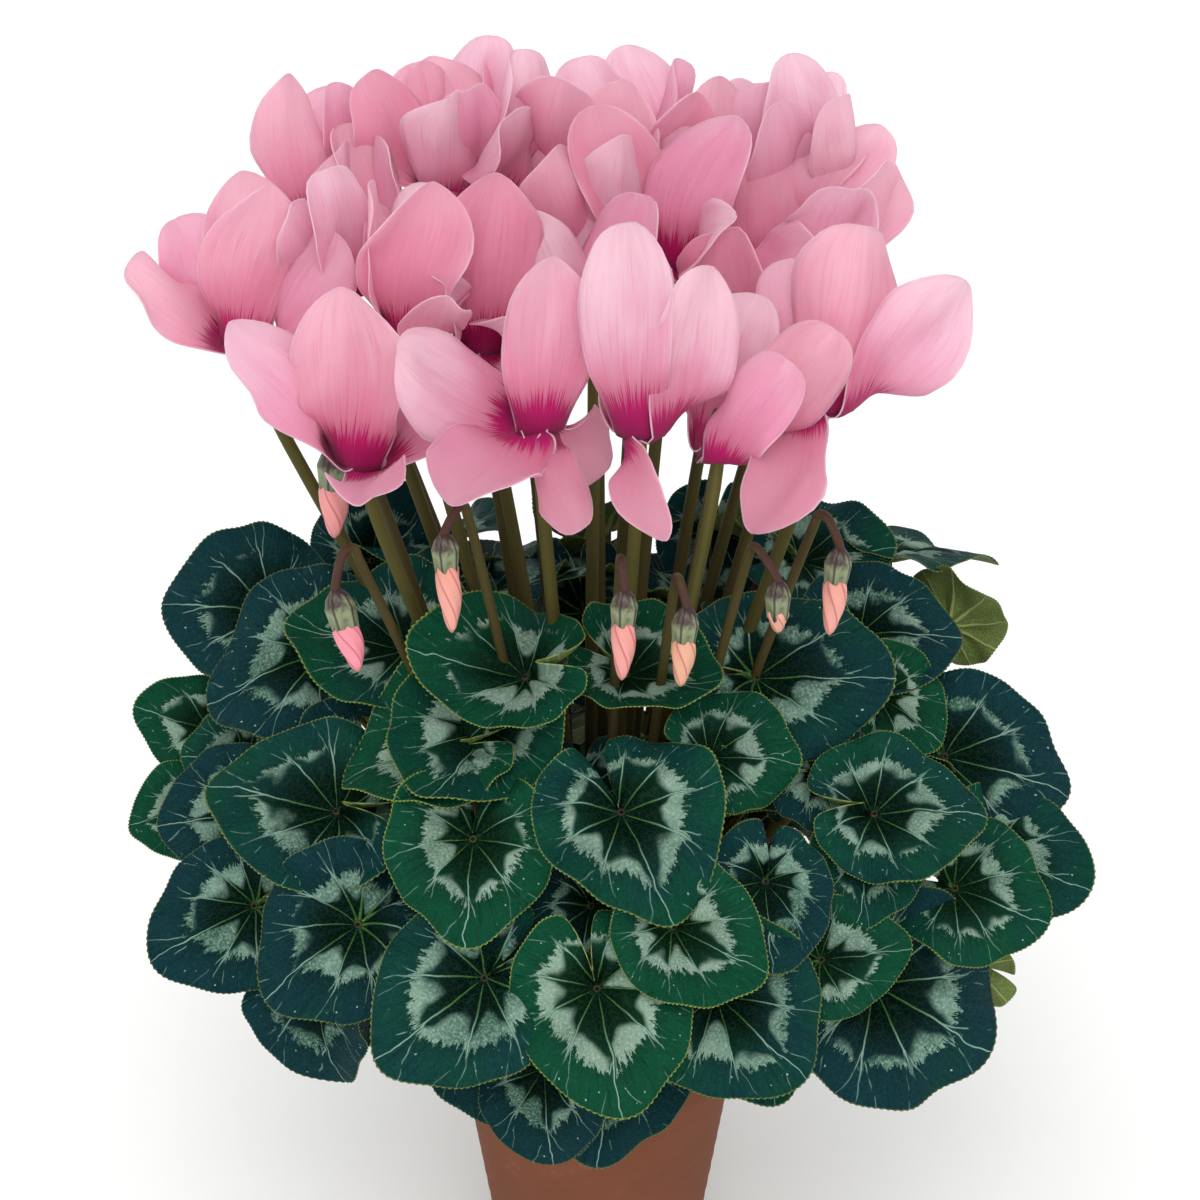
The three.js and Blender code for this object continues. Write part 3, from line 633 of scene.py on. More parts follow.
def petal_finish(colours):
    """Pink, fading to the tip partly as painted highlight, with fine veins, a deep base that frays
    out and a painted highlight along the rim.
    """
    finish = Finish("petal_satin", specular_ior_level=0.12, sheen_weight=0.1,
                    sheen_roughness=0.5)
    side, along = finish.map("petal")
    rim, _ = finish.map("rim")
    seed, pale, dusty = finish.traits()
    across = side * 2 - 1
    fan = across * (1.25 - along * 0.35)
    cloud = finish.noise(finish.vector(across, along * 2, seed * 11), 1.6, 2)
    veins = finish.noise(finish.vector(fan * 16, along * 1.6, seed * 7), 1.5, 4, 0.65)
    streaks = finish.noise(finish.vector(fan * 17, along * 0.9, seed * 3), 1.6, 3, 0.7)

    # Paling to the tip and the white tip: partly the petals' own colour, partly painted highlight.
    paleness = (along - 0.95 + pale * 0.55 + cloud * 0.9).step(-0.35, 0.5)
    low = finish.mix(colours.petal, colours.petal_tip, paleness)
    blanched = (along - 1.65 + pale * 0.9 + cloud * 0.7).step(-0.2, 0.25)
    low = finish.mix(low, "faeaf0", blanched * 0.85)
    # Painted sheen: lilac patches over the pink.
    lilac = finish.mix(low, "dfa0c0", cloud.step(0.05, 0.3) * 0.35)
    salmon = finish.mix(lilac, "ec9dab", seed.step(0.4, 0.7) * 0.4)
    lined = finish.mix(salmon, "da6f97", veins.step(-0.02, 0.25) * 0.55)
    bright = finish.mix(lined, "f8cad7", (0 - veins).step(0.0, 0.3) * 0.35)
    duskier = finish.mix(bright, "cc7c94", dusty * 0.75)
    frayed = along + across * across * 0.08 - streaks * 0.5
    blushed = finish.mix(duskier, "cc4475", 0.55 - frayed.step(EYE_END, EYE_END + 0.36) * 0.55)
    eye = 1 - frayed.step(EYE_END, EYE_END + 0.07)
    eyed = finish.mix(blushed, colours.eye, eye)
    deep = finish.mix(eyed, "7d0a45", 1 - (along + streaks * 0.1).step(0.06, 0.26))
    # Painted highlight: a pale line along the petal's rim.
    edged = finish.mix(deep, "fbe6ed", rim.step(0.8, 0.95) * 0.55)
    finish.let_light_through("ffe0ec", PETAL_GLOW - eye * EYE_HOLDS_BACK)
    return finish.close(edged, 0.55 + cloud * 0.15, veins + cloud, 0.3)


def calyx_finish(colours):
    finish = Finish("calyx", specular_ior_level=0.35)
    around, along = finish.map("calyx")
    ribs = (around * 5).fold(0.5)
    cloud = finish.noise(finish.vector(around * 4, along * 2), 3, 3)
    base = finish.mix(colours.calyx, "5c6648", cloud + 0.5)
    flushed = finish.mix(base, "3f2a30", (1 - along - 0.5 + cloud).step(0.0, 0.5))
    ribbed = finish.mix(flushed, "2a1a20", (1 - ribs.step(0.03, 0.12)) * 0.8)
    return finish.close(ribbed, 0.6 + cloud * 0.2, ribs + cloud, 0.3)


def bud_finish(colours):
    finish = Finish("bud_petals", specular_ior_level=0.3, subsurface_weight=0.2,
                    subsurface_radius=(0.8, 0.35, 0.3), subsurface_scale=0.003)
    around, along = finish.map("calyx")
    _, pink, _ = finish.traits()
    swirl = (around * 5 + along * FURL).fold(0.5)
    veins = finish.noise(finish.vector(around * 40 + along * 18, along * 2), 1.2, 3)
    base = finish.mix("dca78c", colours.bud, pink)
    warm = finish.mix(base, "cc6a58", (1 - along).step(0.4, 1.0) * 0.4)
    lined = finish.mix(warm, "d0566e", veins.step(0.05, 0.35) * 0.4)
    # Darker seams between the furled petals: partly their own colour, partly painted shade in the
    # creases.
    seamed = finish.mix(lined, "a8404f", (1 - swirl.step(0.0, 0.12)) * 0.65)
    return finish.close(seamed, 0.5 + veins * 0.1, swirl + veins * 0.5, 0.3)


FINISHES = {
    "clay": clay_finish,
    "peat": peat_finish,
    "cork": cork_finish,
    "leaf_face": leaf_finish,
    "leaf_underside": underside_finish,
    "stalk": stalk_finish,
    "petal_satin": petal_finish,
    "calyx": calyx_finish,
    "bud_petals": bud_finish,
}


def finish_named(name):
    """The material of that name, made the first time that a piece asks for it."""
    made = bpy.data.materials.get(name)
    return made or FINISHES[name](bpy.context.scene.cyclamen_colours)


# ---- vectors ----
UP = np.array((0.0, 0.0, 1.0))
BACK = np.array((0.0, 1.0, 0.0))

# Any direction but straight up, which is how every stalk starts.
ASIDE = (0.31, 0.95, 0.05)


def unit(vectors):
    return vectors / np.linalg.norm(vectors, axis=-1, keepdims=True)


def smooth(value, low, high):
    """0 below low, 1 above high, and smooth between them."""
    share = np.clip((value - low) / (high - low), 0, 1)
    return share * share * (3 - 2 * share)


def blend(a, b, share):
    return a + (b - a) * share


def smooth_path(points, steps):
    """A smooth curve through the points, which doesn't overshoot at tight turns."""
    p = np.array(points, float)
    p = np.vstack([2 * p[0] - p[1], p, 2 * p[-1] - p[-2]])
    t = np.concatenate([[0], np.cumsum(np.linalg.norm(np.diff(p, axis=0), axis=1) ** 0.5)])

    def between(first, second, time, start, end):
        """On the way from the first point to the second, as the time is from start to end."""
        return blend(first, second, (time - t[start]) / (t[end] - t[start]))
    rows = []
    for i in range(1, len(p) - 2):
        for time in np.linspace(t[i], t[i + 1], steps, endpoint=False):
            a, b, c = (between(p[k], p[k + 1], time, k, k + 1) for k in (i - 1, i, i + 1))
            before = between(a, b, time, i - 1, i + 1)
            after = between(b, c, time, i, i + 2)
            rows.append(between(before, after, time, i, i + 1))
    rows.append(p[-2])
    return np.array(rows)


def grid_normals(points, closed):
    """The normals of a grid of points, on the side where rows turn into columns."""
    along = np.gradient(points, axis=0)
    if closed:
        around = np.roll(points, -1, axis=1) - np.roll(points, 1, axis=1)
    else:
        around = np.gradient(points, axis=1)
    return unit(np.cross(along, around))


# ---- pieces ----
class Body:
    """The points and faces of one piece, in millimetres, gathered patch by patch."""

    def __init__(self):
        self.points = []
        self.traits = []
        self.patches = []
        self.count = 0

    def add_points(self, points, traits=(0, 0, 0)):
        """Adds points and returns their numbers, in the same rows and columns."""
        points = np.asarray(points, float)
        numbers = np.arange(points[..., 0].size).reshape(points.shape[:-1]) + self.count
        self.points.append(points.reshape(-1, 3))
        self.traits.append(np.tile((*traits, 1), (numbers.size, 1)))
        self.count += numbers.size
        return numbers

    def add_faces(self, corners, finish, maps, flip):
        """Faces of equal size: corners is one row of point numbers for each face."""
        if flip:
            corners = corners[:, ::-1]
            maps = {key: values[:, ::-1] for key, values in maps.items()}
        self.patches.append((corners, finish, maps))

    def add_grid(self, numbers, finish, maps, closed=False, flip=False):
        """Squares between rows of points. Maps have one more column where the rows close."""
        if closed:
            numbers = np.concatenate([numbers, numbers[:, :1]], axis=1)

        def corners(grid):
            return np.stack([grid[:-1, :-1], grid[1:, :-1], grid[1:, 1:], grid[:-1, 1:]], axis=2)
        laid = {key: corners(grid).reshape(-1, 4, 2) for key, grid in maps.items()}
        self.add_faces(corners(numbers).reshape(-1, 4), finish, laid, flip)

    def add_fan(self, centre, ring, finish, maps, flip=False):
        """Triangles from a point to a closed ring. A map gives the centre, then the ring."""
        ring = np.append(ring, ring[0])
        hub = np.full(len(ring) - 1, int(centre))
        laid = {}
        for key, (middle, edge) in maps.items():
            centres = np.broadcast_to(np.asarray(middle, float), edge.shape)[:-1]
            laid[key] = np.stack([centres, edge[:-1], edge[1:]], axis=1)
        self.add_faces(np.stack([hub, ring[:-1], ring[1:]], axis=1), finish, laid, flip)

    def add_stalk(self, path, radius, taper, sides, traits):
        """A round stalk along a path, closed at both ends. The taper has shares of the way along
        it, and of the radius."""
        radii = radius * np.interp(np.linspace(0, 1, len(path)), *np.array(taper).T)
        tangents = unit(np.gradient(path, axis=0))
        guide = unit(np.cross(tangents[0], ASIDE))
        guides = []
        for tangent in tangents:
            guide = unit(guide - tangent * guide.dot(tangent))
            guides.append(guide)
        guides = np.array(guides)
        others = np.cross(tangents, guides)
        turns = np.linspace(0, 2 * math.pi, sides, endpoint=False)[None, :, None]
        rings = guides[:, None] * np.cos(turns) + others[:, None] * np.sin(turns)
        points = path[:, None] + rings * radii[:, None, None]
        numbers = self.add_points(points, traits)
        around = np.broadcast_to(np.linspace(0, 1, sides + 1), (len(path), sides + 1))
        along = np.broadcast_to(np.linspace(0, 1, len(path))[:, None], around.shape)
        laid = np.stack([around, along], axis=2)
        self.add_grid(numbers, "stalk", {"stalk": laid}, closed=True, flip=True)
        for row, flip in ((0, True), (-1, False)):
            centre = self.add_points(path[row][None], traits)[0]
            fans = {"stalk": (laid[row, 0], laid[row])}
            self.add_fan(centre, numbers[row], "stalk", fans, flip)

    def add_turned(self, outline, sides, finish, map_name=None, shape=None, traits=(0, 0, 0),
                   axis=None, capped=False):
        """A body turned about the Z axis, from [radius, height] points that go round it from
        below. shape may move its points, and axis is a start and a direction to lay it along.
        It closes on itself or, when it is capped, at a point on the axis at both ends."""
        turns = np.linspace(0, 2 * math.pi, sides, endpoint=False)
        rows = np.array(outline, float)
        inner = rows[1:-1] if capped else rows
        radius = np.repeat(inner[:, :1], sides, axis=1)
        height = np.repeat(inner[:, 1:], sides, axis=1)
        if shape:
            radius, height = shape(radius, height, turns[None])
        points = np.stack([radius * np.cos(turns), radius * np.sin(turns), height], axis=2)
        ends = np.array([[0, 0, rows[0, 1]], [0, 0, rows[-1, 1]]])
        if axis:
            start, direction = (np.asarray(v, float) for v in axis)
            w = unit(direction)
            u = unit(np.cross(BACK, w) if abs(w[1]) < 0.9 else np.cross(UP, w))
            turned = np.stack([u, np.cross(w, u), w])
            points = points @ turned + start
            ends = ends @ turned + start
        numbers = self.add_points(points, traits)
        around = np.broadcast_to(np.linspace(0, 1, sides + 1), (len(inner), sides + 1))
        along = np.broadcast_to(np.linspace(0, 1, len(inner))[:, None], around.shape)
        laid = np.stack([around, along], axis=2)
        maps = {map_name: laid} if map_name else {}
        if capped:
            for row, end, flip in ((0, 0, True), (-1, 1, False)):
                centre = self.add_points(ends[end][None], traits)[0]
                fans = {map_name: (laid[row, 0], laid[row])} if map_name else {}
                self.add_fan(centre, numbers[row], finish, fans, flip)
        else:
            numbers = np.concatenate([numbers, numbers[:1]])
            maps = {key: np.concatenate([grid, grid[:1]]) for key, grid in maps.items()}
        self.add_grid(numbers, finish, maps, closed=True, flip=True)

    def make_piece(self, name, node=None):
        """Makes the piece, gives it its materials, attaches it to the root body and hides the part
        it replaces, if any.
        """
        mesh = bpy.data.meshes.new(name)
        points = np.concatenate(self.points) * MM
        mesh.vertices.add(len(points))
        mesh.vertices.foreach_set("co", points.ravel())
        corners = np.concatenate([corners.ravel() for corners, _, _ in self.patches])
        sizes = np.concatenate([np.full(len(c), c.shape[1]) for c, _, _ in self.patches])
        finishes = list(dict.fromkeys(finish for _, finish, _ in self.patches))
        kinds = np.concatenate([np.full(len(c), finishes.index(finish))
                                for c, finish, _ in self.patches])
        mesh.loops.add(len(corners))
        mesh.loops.foreach_set("vertex_index", corners.astype(np.int32))
        mesh.polygons.add(len(sizes))
        starts = np.concatenate([[0], np.cumsum(sizes)[:-1]])
        mesh.polygons.foreach_set("loop_start", starts.astype(np.int32))
        mesh.polygons.foreach_set("material_index", kinds.astype(np.int32))
        mesh.update(calc_edges=True)
        for map_name in sorted({key for _, _, maps in self.patches for key in maps}):
            values = [maps.get(map_name, np.zeros((*corners.shape, 2))).reshape(-1, 2)
                      for corners, _, maps in self.patches]
            layer = mesh.uv_layers.new(name=map_name)
            layer.uv.foreach_set("vector", np.concatenate(values).astype(np.float32).ravel())
        layer = mesh.attributes.new("traits", "FLOAT_COLOR", "POINT")
        layer.data.foreach_set("color", np.concatenate(self.traits).astype(np.float32).ravel())
        mesh.shade_smooth()
        for finish in finishes:
            mesh.materials.append(finish_named(finish))
        if mesh.validate():
            raise RuntimeError(f"{name} has a broken face")
        piece = bpy.data.objects.new(name, mesh)
        bpy.context.scene.collection.objects.link(piece)
        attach(piece, "root")
        if node:
            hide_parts(node)


# ---- pot, soil and corm ----
UNDER_COLLAR = POT_HEIGHT - COLLAR_HEIGHT
WALL_RADIUS = RIM_RADIUS - COLLAR_STEP
INNER_RADIUS = WALL_RADIUS - WALL
INNER_FOOT_RADIUS = FOOT_RADIUS - WALL


def rounded(outline, radii, steps=5):
    """A closed outline with each corner rounded to its radius."""
    points = np.array(outline, float)
    rows = []
    for i, radius in enumerate(radii):
        corner = points[i]
        before, after = (unit(points[j % len(points)] - corner) for j in (i - 1, i + 1))
        if radius == 0:
            rows.append(corner)
            continue
        for share in np.linspace(0, 1, steps):
            first = blend(corner + before * radius, corner, share)
            second = blend(corner, corner + after * radius, share)
            rows.append(blend(first, second, share))
    return rows


def subdivide(outline, longest):
    """A closed outline with points added so that no step is longer than that."""
    points = np.array(outline, float)
    rows = []
    for a, b in zip(points, np.roll(points, -1, axis=0)):
        count = max(1, math.ceil(np.linalg.norm(b - a) / longest))
        rows += [blend(a, b, k / count) for k in range(count)]
    return rows


def make_pot():
    """The pot with its collar and its drainage hole, as it comes off the wheel."""
    outline = [
        (DRAIN_RADIUS, 0), (FOOT_RADIUS, 0), (WALL_RADIUS - 1, UNDER_COLLAR),
        (RIM_RADIUS - 0.6, UNDER_COLLAR), (RIM_RADIUS, POT_HEIGHT),
        (INNER_RADIUS, POT_HEIGHT), (INNER_FOOT_RADIUS, FLOOR_THICKNESS),
        (DRAIN_RADIUS, FLOOR_THICKNESS),
    ]
    radii = (1, 2.5, 0.8, 1.2, 1.8, 1.8, 3, 1)

    def thrown(radius, height, turns):
        """Faint rings left by the wheel, and a rim that isn't quite round."""
        rings = 0.12 * np.sin(height * 0.9 + 0.6 * np.sin(turns * 2))
        return radius + rings * (height > 2) + 0.15 * np.sin(turns * 3 + 1), height
    body = Body()
    body.add_turned(subdivide(rounded(outline, radii), 2.5), POT_SIDES, "clay", shape=thrown)
    body.make_piece("cyclamen_pot", "pot")


def corm_outline():
    """The corm's side from below: [radius, height] points, from its axis to its axis."""
    middle = CORM_TOP - CORM_DEPTH * CORM_UPPER
    rows = []
    for turn in np.linspace(-math.pi / 2, math.pi / 2, 15):
        depth = CORM_DEPTH * (1 - CORM_UPPER if turn < 0 else CORM_UPPER)
        rows.append((CORM_RADIUS * math.cos(turn) ** 0.55, middle + depth * math.sin(turn)))
    return [(0, rows[0][1]), *rows[1:-1], (0, rows[-1][1])]


def make_soil():
    """One body of soil that fills the pot, with a hollow that the corm sits in."""
    slope = (INNER_RADIUS - INNER_FOOT_RADIUS) / (POT_HEIGHT - FLOOR_THICKNESS)
    bottom = FLOOR_THICKNESS + GAP
    top_radius = INNER_FOOT_RADIUS + slope * (SOIL_TOP - FLOOR_THICKNESS) - 2 * GAP
    low_corm = CORM_TOP - CORM_DEPTH - 2
    outline = [(0, bottom), (1, bottom), (INNER_FOOT_RADIUS - GAP, bottom),
               (top_radius, SOIL_TOP - 1.5)]
    outline += [(r, SOIL_TOP) for r in np.linspace(top_radius - 0.5, CORM_RADIUS + 1.2, 20)]
    outline += [(CORM_RADIUS + 1, SOIL_TOP - 3), (1, low_corm), (0, low_corm)]
    rng = np.random.default_rng(SOIL_SEED)

    def crumbly(radius, height, turns):
        """Crumbs on the top, none at the pot's wall."""
        top = (height > SOIL_TOP - 0.5) & (radius > CORM_RADIUS + 1.1)
        heaps = 0.7 * np.sin(turns * 5 + radius * 0.3) * np.cos(turns * 3 - radius * 0.2)
        crumbs = rng.normal(0, 0.55, radius.shape)
        return radius, height + top * np.clip(heaps + crumbs, -1.6, 1.6)
    body = Body()
    body.add_turned(outline, SOIL_SIDES, "peat", shape=crumbly, capped=True)
    body.make_piece("cyclamen_soil", "potting_soil")


def make_corm():
    rng = np.random.default_rng(CORM_SEED)

    def corky(radius, height, turns):
        """Lumps and flakes, all of them inside the corm's outline."""
        lumps = 0.5 * np.sin(turns * 4 + height * 0.3) + 0.3 * np.sin(turns * 9 - height * 0.5)
        flakes = rng.normal(0, 0.12, radius.shape)
        return radius + np.minimum(lumps + flakes - 0.8, 0), height
    body = Body()
    outline = subdivide(corm_outline(), 1.6)[:-1]
    body.add_turned(outline, CORM_SIDES, "cork", shape=corky, capped=True)
    body.make_piece("cyclamen_corm", "corm")


def stalk_start(place):
    """The first two points of a stalk: inside the corm, and where it starts to lean out."""
    return place - UP * STALK_SINK, place + UP * STALK_RISE


def crown_places(targets, ring_radii):
    """Even places round rings on the corm, shared out by the way each piece leans."""
    items = [{"index": i, "spread": math.hypot(x, y) / z, "bearing": math.atan2(y, x)}
             for i, (x, y, z) in enumerate(targets)]
    items.sort(key=lambda item: -item["spread"])
    places = [None] * len(items)
    for ring, radius in enumerate(ring_radii):
        share = int(len(targets) * radius / sum(ring_radii) + 0.5)
        count = len(items) if ring == len(ring_radii) - 1 else share
        group = sorted(items[:count], key=lambda item: item["bearing"])
        items = items[count:]
        step = 2 * math.pi / len(group)
        start = sum(item["bearing"] - i * step for i, item in enumerate(group)) / len(group)
        for i, item in enumerate(group):
            turn = start + i * step
            places[item["index"]] = np.array((radius * math.cos(turn), radius * math.sin(turn),
                                              CORM_TOP + GAP))
    return places


# ---- leaves ----
def margin_radius(angles, phase):
    """Distance from the joint to the margin, as a share of the blade's width, and how much of it
    the notch leaves. Angles are in degrees."""
    off = np.abs(angles)
    lobe = 0.085 * np.cos(np.radians(off)) + 0.115 * np.exp(-((off / 22) ** 2))
    lobe = lobe + 0.03 * np.exp(-(((145 - off) / 22) ** 2))
    turns = np.radians(angles)
    uneven = 0.014 * np.sin(turns * 5 + phase[0]) + 0.035 * np.sin(turns * 2 + phase[2])
    uneven = uneven + 0.008 * np.sin(turns * 11 + phase[1])
    uneven = uneven + 0.006 * np.cos(turns / VEIN_SPACING * 2 * math.pi)
    notch = 1 - 0.8 * np.exp(-(((180 - off) / 7) ** 2))
    return (0.475 + lobe) * (1 + uneven), notch


def leaf_frame(facing, tilt, turn):
    """Unit vectors along the tip, to the side and out of the face."""
    f, t, r = np.radians((facing, tilt, turn))
    normal = np.array((math.cos(t) * math.sin(f), -math.cos(t) * math.cos(f), math.sin(t)))
    downhill = np.array((math.sin(t) * math.sin(f), -math.sin(t) * math.cos(f), -math.cos(t)))
    right = np.array((math.cos(f), math.sin(f), 0))
    tip = downhill * math.cos(r) + right * math.sin(r)
    side = right * math.cos(r) - downhill * math.sin(r)
    return tip, side, normal


def blade_relief(angles, shares, phase, rng):
    """How far the blade's points stand out of its plane: between its veins, round its edge, at
    its lobes and down to its joint. Shares of its width."""
    turns = np.radians(angles)
    spacing = math.degrees(VEIN_SPACING)
    vein = np.abs(angles) * (1 + 0.1 * shares)
    off_vein = np.abs((vein + spacing / 2) % spacing - spacing / 2) / (spacing / 2)
    pillow = 0.024 * np.sin(off_vein * math.pi / 2) ** 2 * np.sin(np.pi * shares ** 0.8)
    left, right = rng.uniform(-1, 1, 2)
    wave = 0.04 * np.sin(turns * 2 + phase[2]) * shares ** 2
    wave = wave + 0.04 * np.sin(turns * 3 + phase[3]) * shares ** 3
    wave = wave * rng.uniform(0.7, 2.3)
    ruffle = 0.028 * np.sin(turns * 7 + phase[4]) * shares ** 5
    ruffle = ruffle + 0.01 * np.sin(turns * 13 + phase[5]) * shares ** 8
    lobes = 0.07 * smooth(np.abs(angles), 90, 170) * np.where(angles > 0, left, right)
    well = 0.09 * (smooth(shares, -0.1, 0.5) - 0.5)
    valley = 0.05 * np.exp(-(((180 - np.abs(angles)) / 16) ** 2)) * (1 - shares ** 2)
    return pillow + wave + ruffle + well + lobes * shares ** 1.5 - valley


def blade_maps(turns, shares, across, along, reach):
    """A face's maps: its plane, its angle with the share of the margin as it would be without
    the notch, and its angle with the share of the margin itself."""
    def wrapped(grid):
        return np.concatenate([grid, grid[:, :1]], axis=1)
    plane = np.stack([wrapped(across), wrapped(along)], axis=2) + 0.5
    turned = np.broadcast_to(turns / 360 + 0.5, plane.shape[:2])
    polar = np.stack([turned, wrapped(reach)], axis=2)
    margin = np.stack([turned, np.broadcast_to(shares, turned.shape)], axis=2)
    return {"blade": plane, "polar": polar, "margin": margin}


def add_blade_faces(body, top, under, hubs, maps):
    """Both faces, from the hubs in their middles to their margins, and the edge between them."""
    hub_maps = {key: (grid[0] * (1, 0), grid[0]) for key, grid in maps.items()}
    hub_maps["blade"] = ((0.5, 0.5), maps["blade"][0])
    for points, hub, finish in ((top, hubs[0], "leaf_face"), (under, hubs[1], "leaf_underside")):
        flip = points is under
        body.add_fan(hub, points[0], finish, hub_maps, flip=flip)
        body.add_grid(points, finish, maps, closed=True, flip=flip)
    rim_maps = {key: np.stack([grid[-1], grid[-1]]) for key, grid in maps.items()}
    body.add_grid(np.stack([top[-1], under[-1]]), "leaf_face", rim_maps, closed=True)


def make_leaf(name, row, place, seed, node=None):
    *joint, facing, tilt, turn, width, cup, fold, curl, age = row
    sizes = bpy.context.scene.cyclamen_sizes
    rng = np.random.default_rng(seed)
    joint = np.array(joint, float)
    tip, side, normal = leaf_frame(facing, tilt, turn)
    turns = np.linspace(-180, 180, TEETH * len(TOOTH_COLUMNS) + 1)
    angles = turns[:-1]
    phase = rng.uniform(0, 2 * math.pi, 6)

    full, notch = margin_radius(angles, phase)
    full = full * width
    margin = full * notch
    shares = np.array(BLADE_SHARES)[:, None]
    reach = shares * margin
    reach[-1] += np.tile(TOOTH_COLUMNS, TEETH) * sizes.tooth / MM * (margin / margin.max())
    along = reach * np.cos(np.radians(angles))
    across = reach * np.sin(np.radians(angles))
    height = cup * (reach / (0.5 * width)) ** 2 + fold * np.abs(across / width)
    height = height - curl * (np.maximum(along, 0) / (0.6 * width)) ** 2
    height = (height + blade_relief(angles, shares, phase, rng)) * width

    middle = joint + along[..., None] * tip + across[..., None] * side + height[..., None] * normal
    outward = grid_normals(middle, closed=True)
    half = sizes.blade / MM / 2
    thinned = half * (1 - 0.55 * shares[..., None] ** 6)
    traits = (rng.uniform(0, 1), age, rng.uniform(-0.4, 0.5))
    body = Body()
    top = body.add_points(middle + outward * thinned, traits)
    under = body.add_points(middle - outward * thinned, traits)
    hubs = body.add_points([joint + normal * half, joint - normal * half], traits)
    maps = blade_maps(turns, shares, across / width, along / width, reach / full)
    add_blade_faces(body, top, under, hubs, maps)

    root, foot = stalk_start(place)
    behind = joint - normal * LEAF_STALK_SETBACK
    halfway = blend(foot, behind, STALK_MIDDLE) + UP * LEAF_STALK_LIFT
    path = smooth_path([root, foot, halfway, behind, joint - normal * 0.5], 9)
    body.add_stalk(path, sizes.leaf_stalk / MM, LEAF_TAPER, LEAF_STALK_SIDES, traits)
    body.make_piece(name, node)


# ---- flowers ----
PETAL_BODY_ROWS = 20
PETAL_TIP_ROWS = 9
PETAL_COLUMNS = 17

# Where a petal is widest, as a share of its length, and its base as a share of that width.
PETAL_SHOULDER = 0.6
PETAL_BASE_WIDTH = 0.44

# A petal is drawn with this share of its row's length, and with a width that is the least one
# and this share of its row's.
PETAL_LENGTH_SHARE = 0.97
PETAL_LEAST_WIDTH = 15
PETAL_WIDTH_SHARE = 0.62

# How far up a petal's face looks when it isn't turned about its length.
PETAL_FACE_RISE = math.radians(27)

# A petal that rises more than this is steep, and is pulled to the front of the nose.
STEEP_RISE = math.radians(44)
STEEP_PULL = 1.5

# A petal that rises less than this hangs down, and is coloured duskier and less pale. In degrees.
DROOP_RISE = 20

# The radius that a petal's base is bent to round the nose's mouth, and how far the painted
# highlight along its rim reaches in.
MOUTH_RADIUS = 8
RIM_REACH = 3


def petal_slots(petals):
    """The turn round the nose where each petal starts: even steps, matched to where it points."""
    lean, rise, _, _, width = np.array(petals).T
    lean, rise = np.radians((lean, rise))
    steep = np.where(rise > STEEP_RISE, np.sin(rise) * (width / width.max()) ** 2, 0)
    right = np.cos(rise) * np.sin(lean)
    front = np.cos(rise) * np.cos(lean) + STEEP_PULL * steep
    orders = np.array(list(itertools.permutations(range(len(petals)))))
    starts = np.radians(np.arange(0, 72, 6))
    turns = starts[:, None, None] + orders * 2 * math.pi / len(petals)
    match = (right * np.sin(turns) + front * np.cos(turns)).sum(axis=2)
    return turns.reshape(-1, len(petals))[match.argmax()]


def petal_shares():
    """Shares of a petal's length for its rows, closer together round its tip."""
    lower = np.linspace(0, PETAL_SHOULDER, PETAL_BODY_ROWS, endpoint=False)
    upper = np.sin(np.linspace(0, math.pi / 2, PETAL_TIP_ROWS))
    return np.concatenate([lower, blend(PETAL_SHOULDER, 1, upper)])


def petal_width(share, point):
    """Width of a petal at a share of its length, as a share of its greatest width."""
    swell = np.sin(math.pi / 2 * np.minimum(share / PETAL_SHOULDER, 1)) ** 1.5
    past = np.maximum(share - PETAL_SHOULDER, 0) / (1 - PETAL_SHOULDER)
    return blend(PETAL_BASE_WIDTH, 1, swell) * (1 - 0.997 * past ** 2) ** point


def petal_line(nose, level, along, long, rise):
    """Points down the middle of a petal: out of the mouth, round under it and on to the tip.
    Where two distances are blended, the second is that of an upright petal."""
    upright = smooth(rise, -20, 60)
    start = nose + level * 3.5 + UP * 1
    under = nose + level * blend(9, 12.5, upright) - UP * blend(4, 9, upright)
    outside = nose + along * long * 0.3 + level * blend(0, 5.5, upright)
    end = nose + along * long
    t = np.linspace(0, 1, 60)[:, None]
    line = ((1 - t) ** 3 * start + 3 * (1 - t) ** 2 * t * under
            + 3 * (1 - t) * t ** 2 * outside + t ** 3 * end)
    reach = np.concatenate([[0], np.cumsum(np.linalg.norm(np.diff(line, axis=0), axis=1))])
    shares = petal_shares() * reach[-1]
    return np.stack([np.interp(shares, reach, line[:, i]) for i in range(3)], axis=1)


def petal_frame(lean, rise, turn):
    """Unit vectors along a petal and out of its face."""
    a, r, swing = np.radians((lean, rise, turn))
    along = np.array((math.sin(a) * math.cos(r), -math.cos(a) * math.cos(r), math.sin(r)))
    front = -BACK * math.cos(PETAL_FACE_RISE) + UP * math.sin(PETAL_FACE_RISE)
    face = unit(front - along * front.dot(along))
    return along, face * math.cos(swing) + np.cross(along, face) * math.sin(swing)


def petal_whims(rng):
    """What differs from petal to petal. The order of these draws settles every flower's look."""
    return SimpleNamespace(
        twist=math.radians(rng.uniform(-34, 34)),
        cup=rng.uniform(-0.3, 0.16),
        roll=rng.choice((0, 0.35, -0.45, 0.7, 1.0)) * rng.uniform(0.6, 1),
        roll_side=rng.choice((-1, 1)),
        crease=rng.uniform(-0.2, 0.12),
        bow=rng.uniform(-0.02, 0.07),
        bend=rng.uniform(-0.08, 0.08),
        tip_curl=rng.uniform(-0.14, 0.08),
        point=rng.choice((0.36, 0.4, 0.44, 0.5, 0.7)),
        phase=rng.uniform(0, 2 * math.pi, 4),
    )


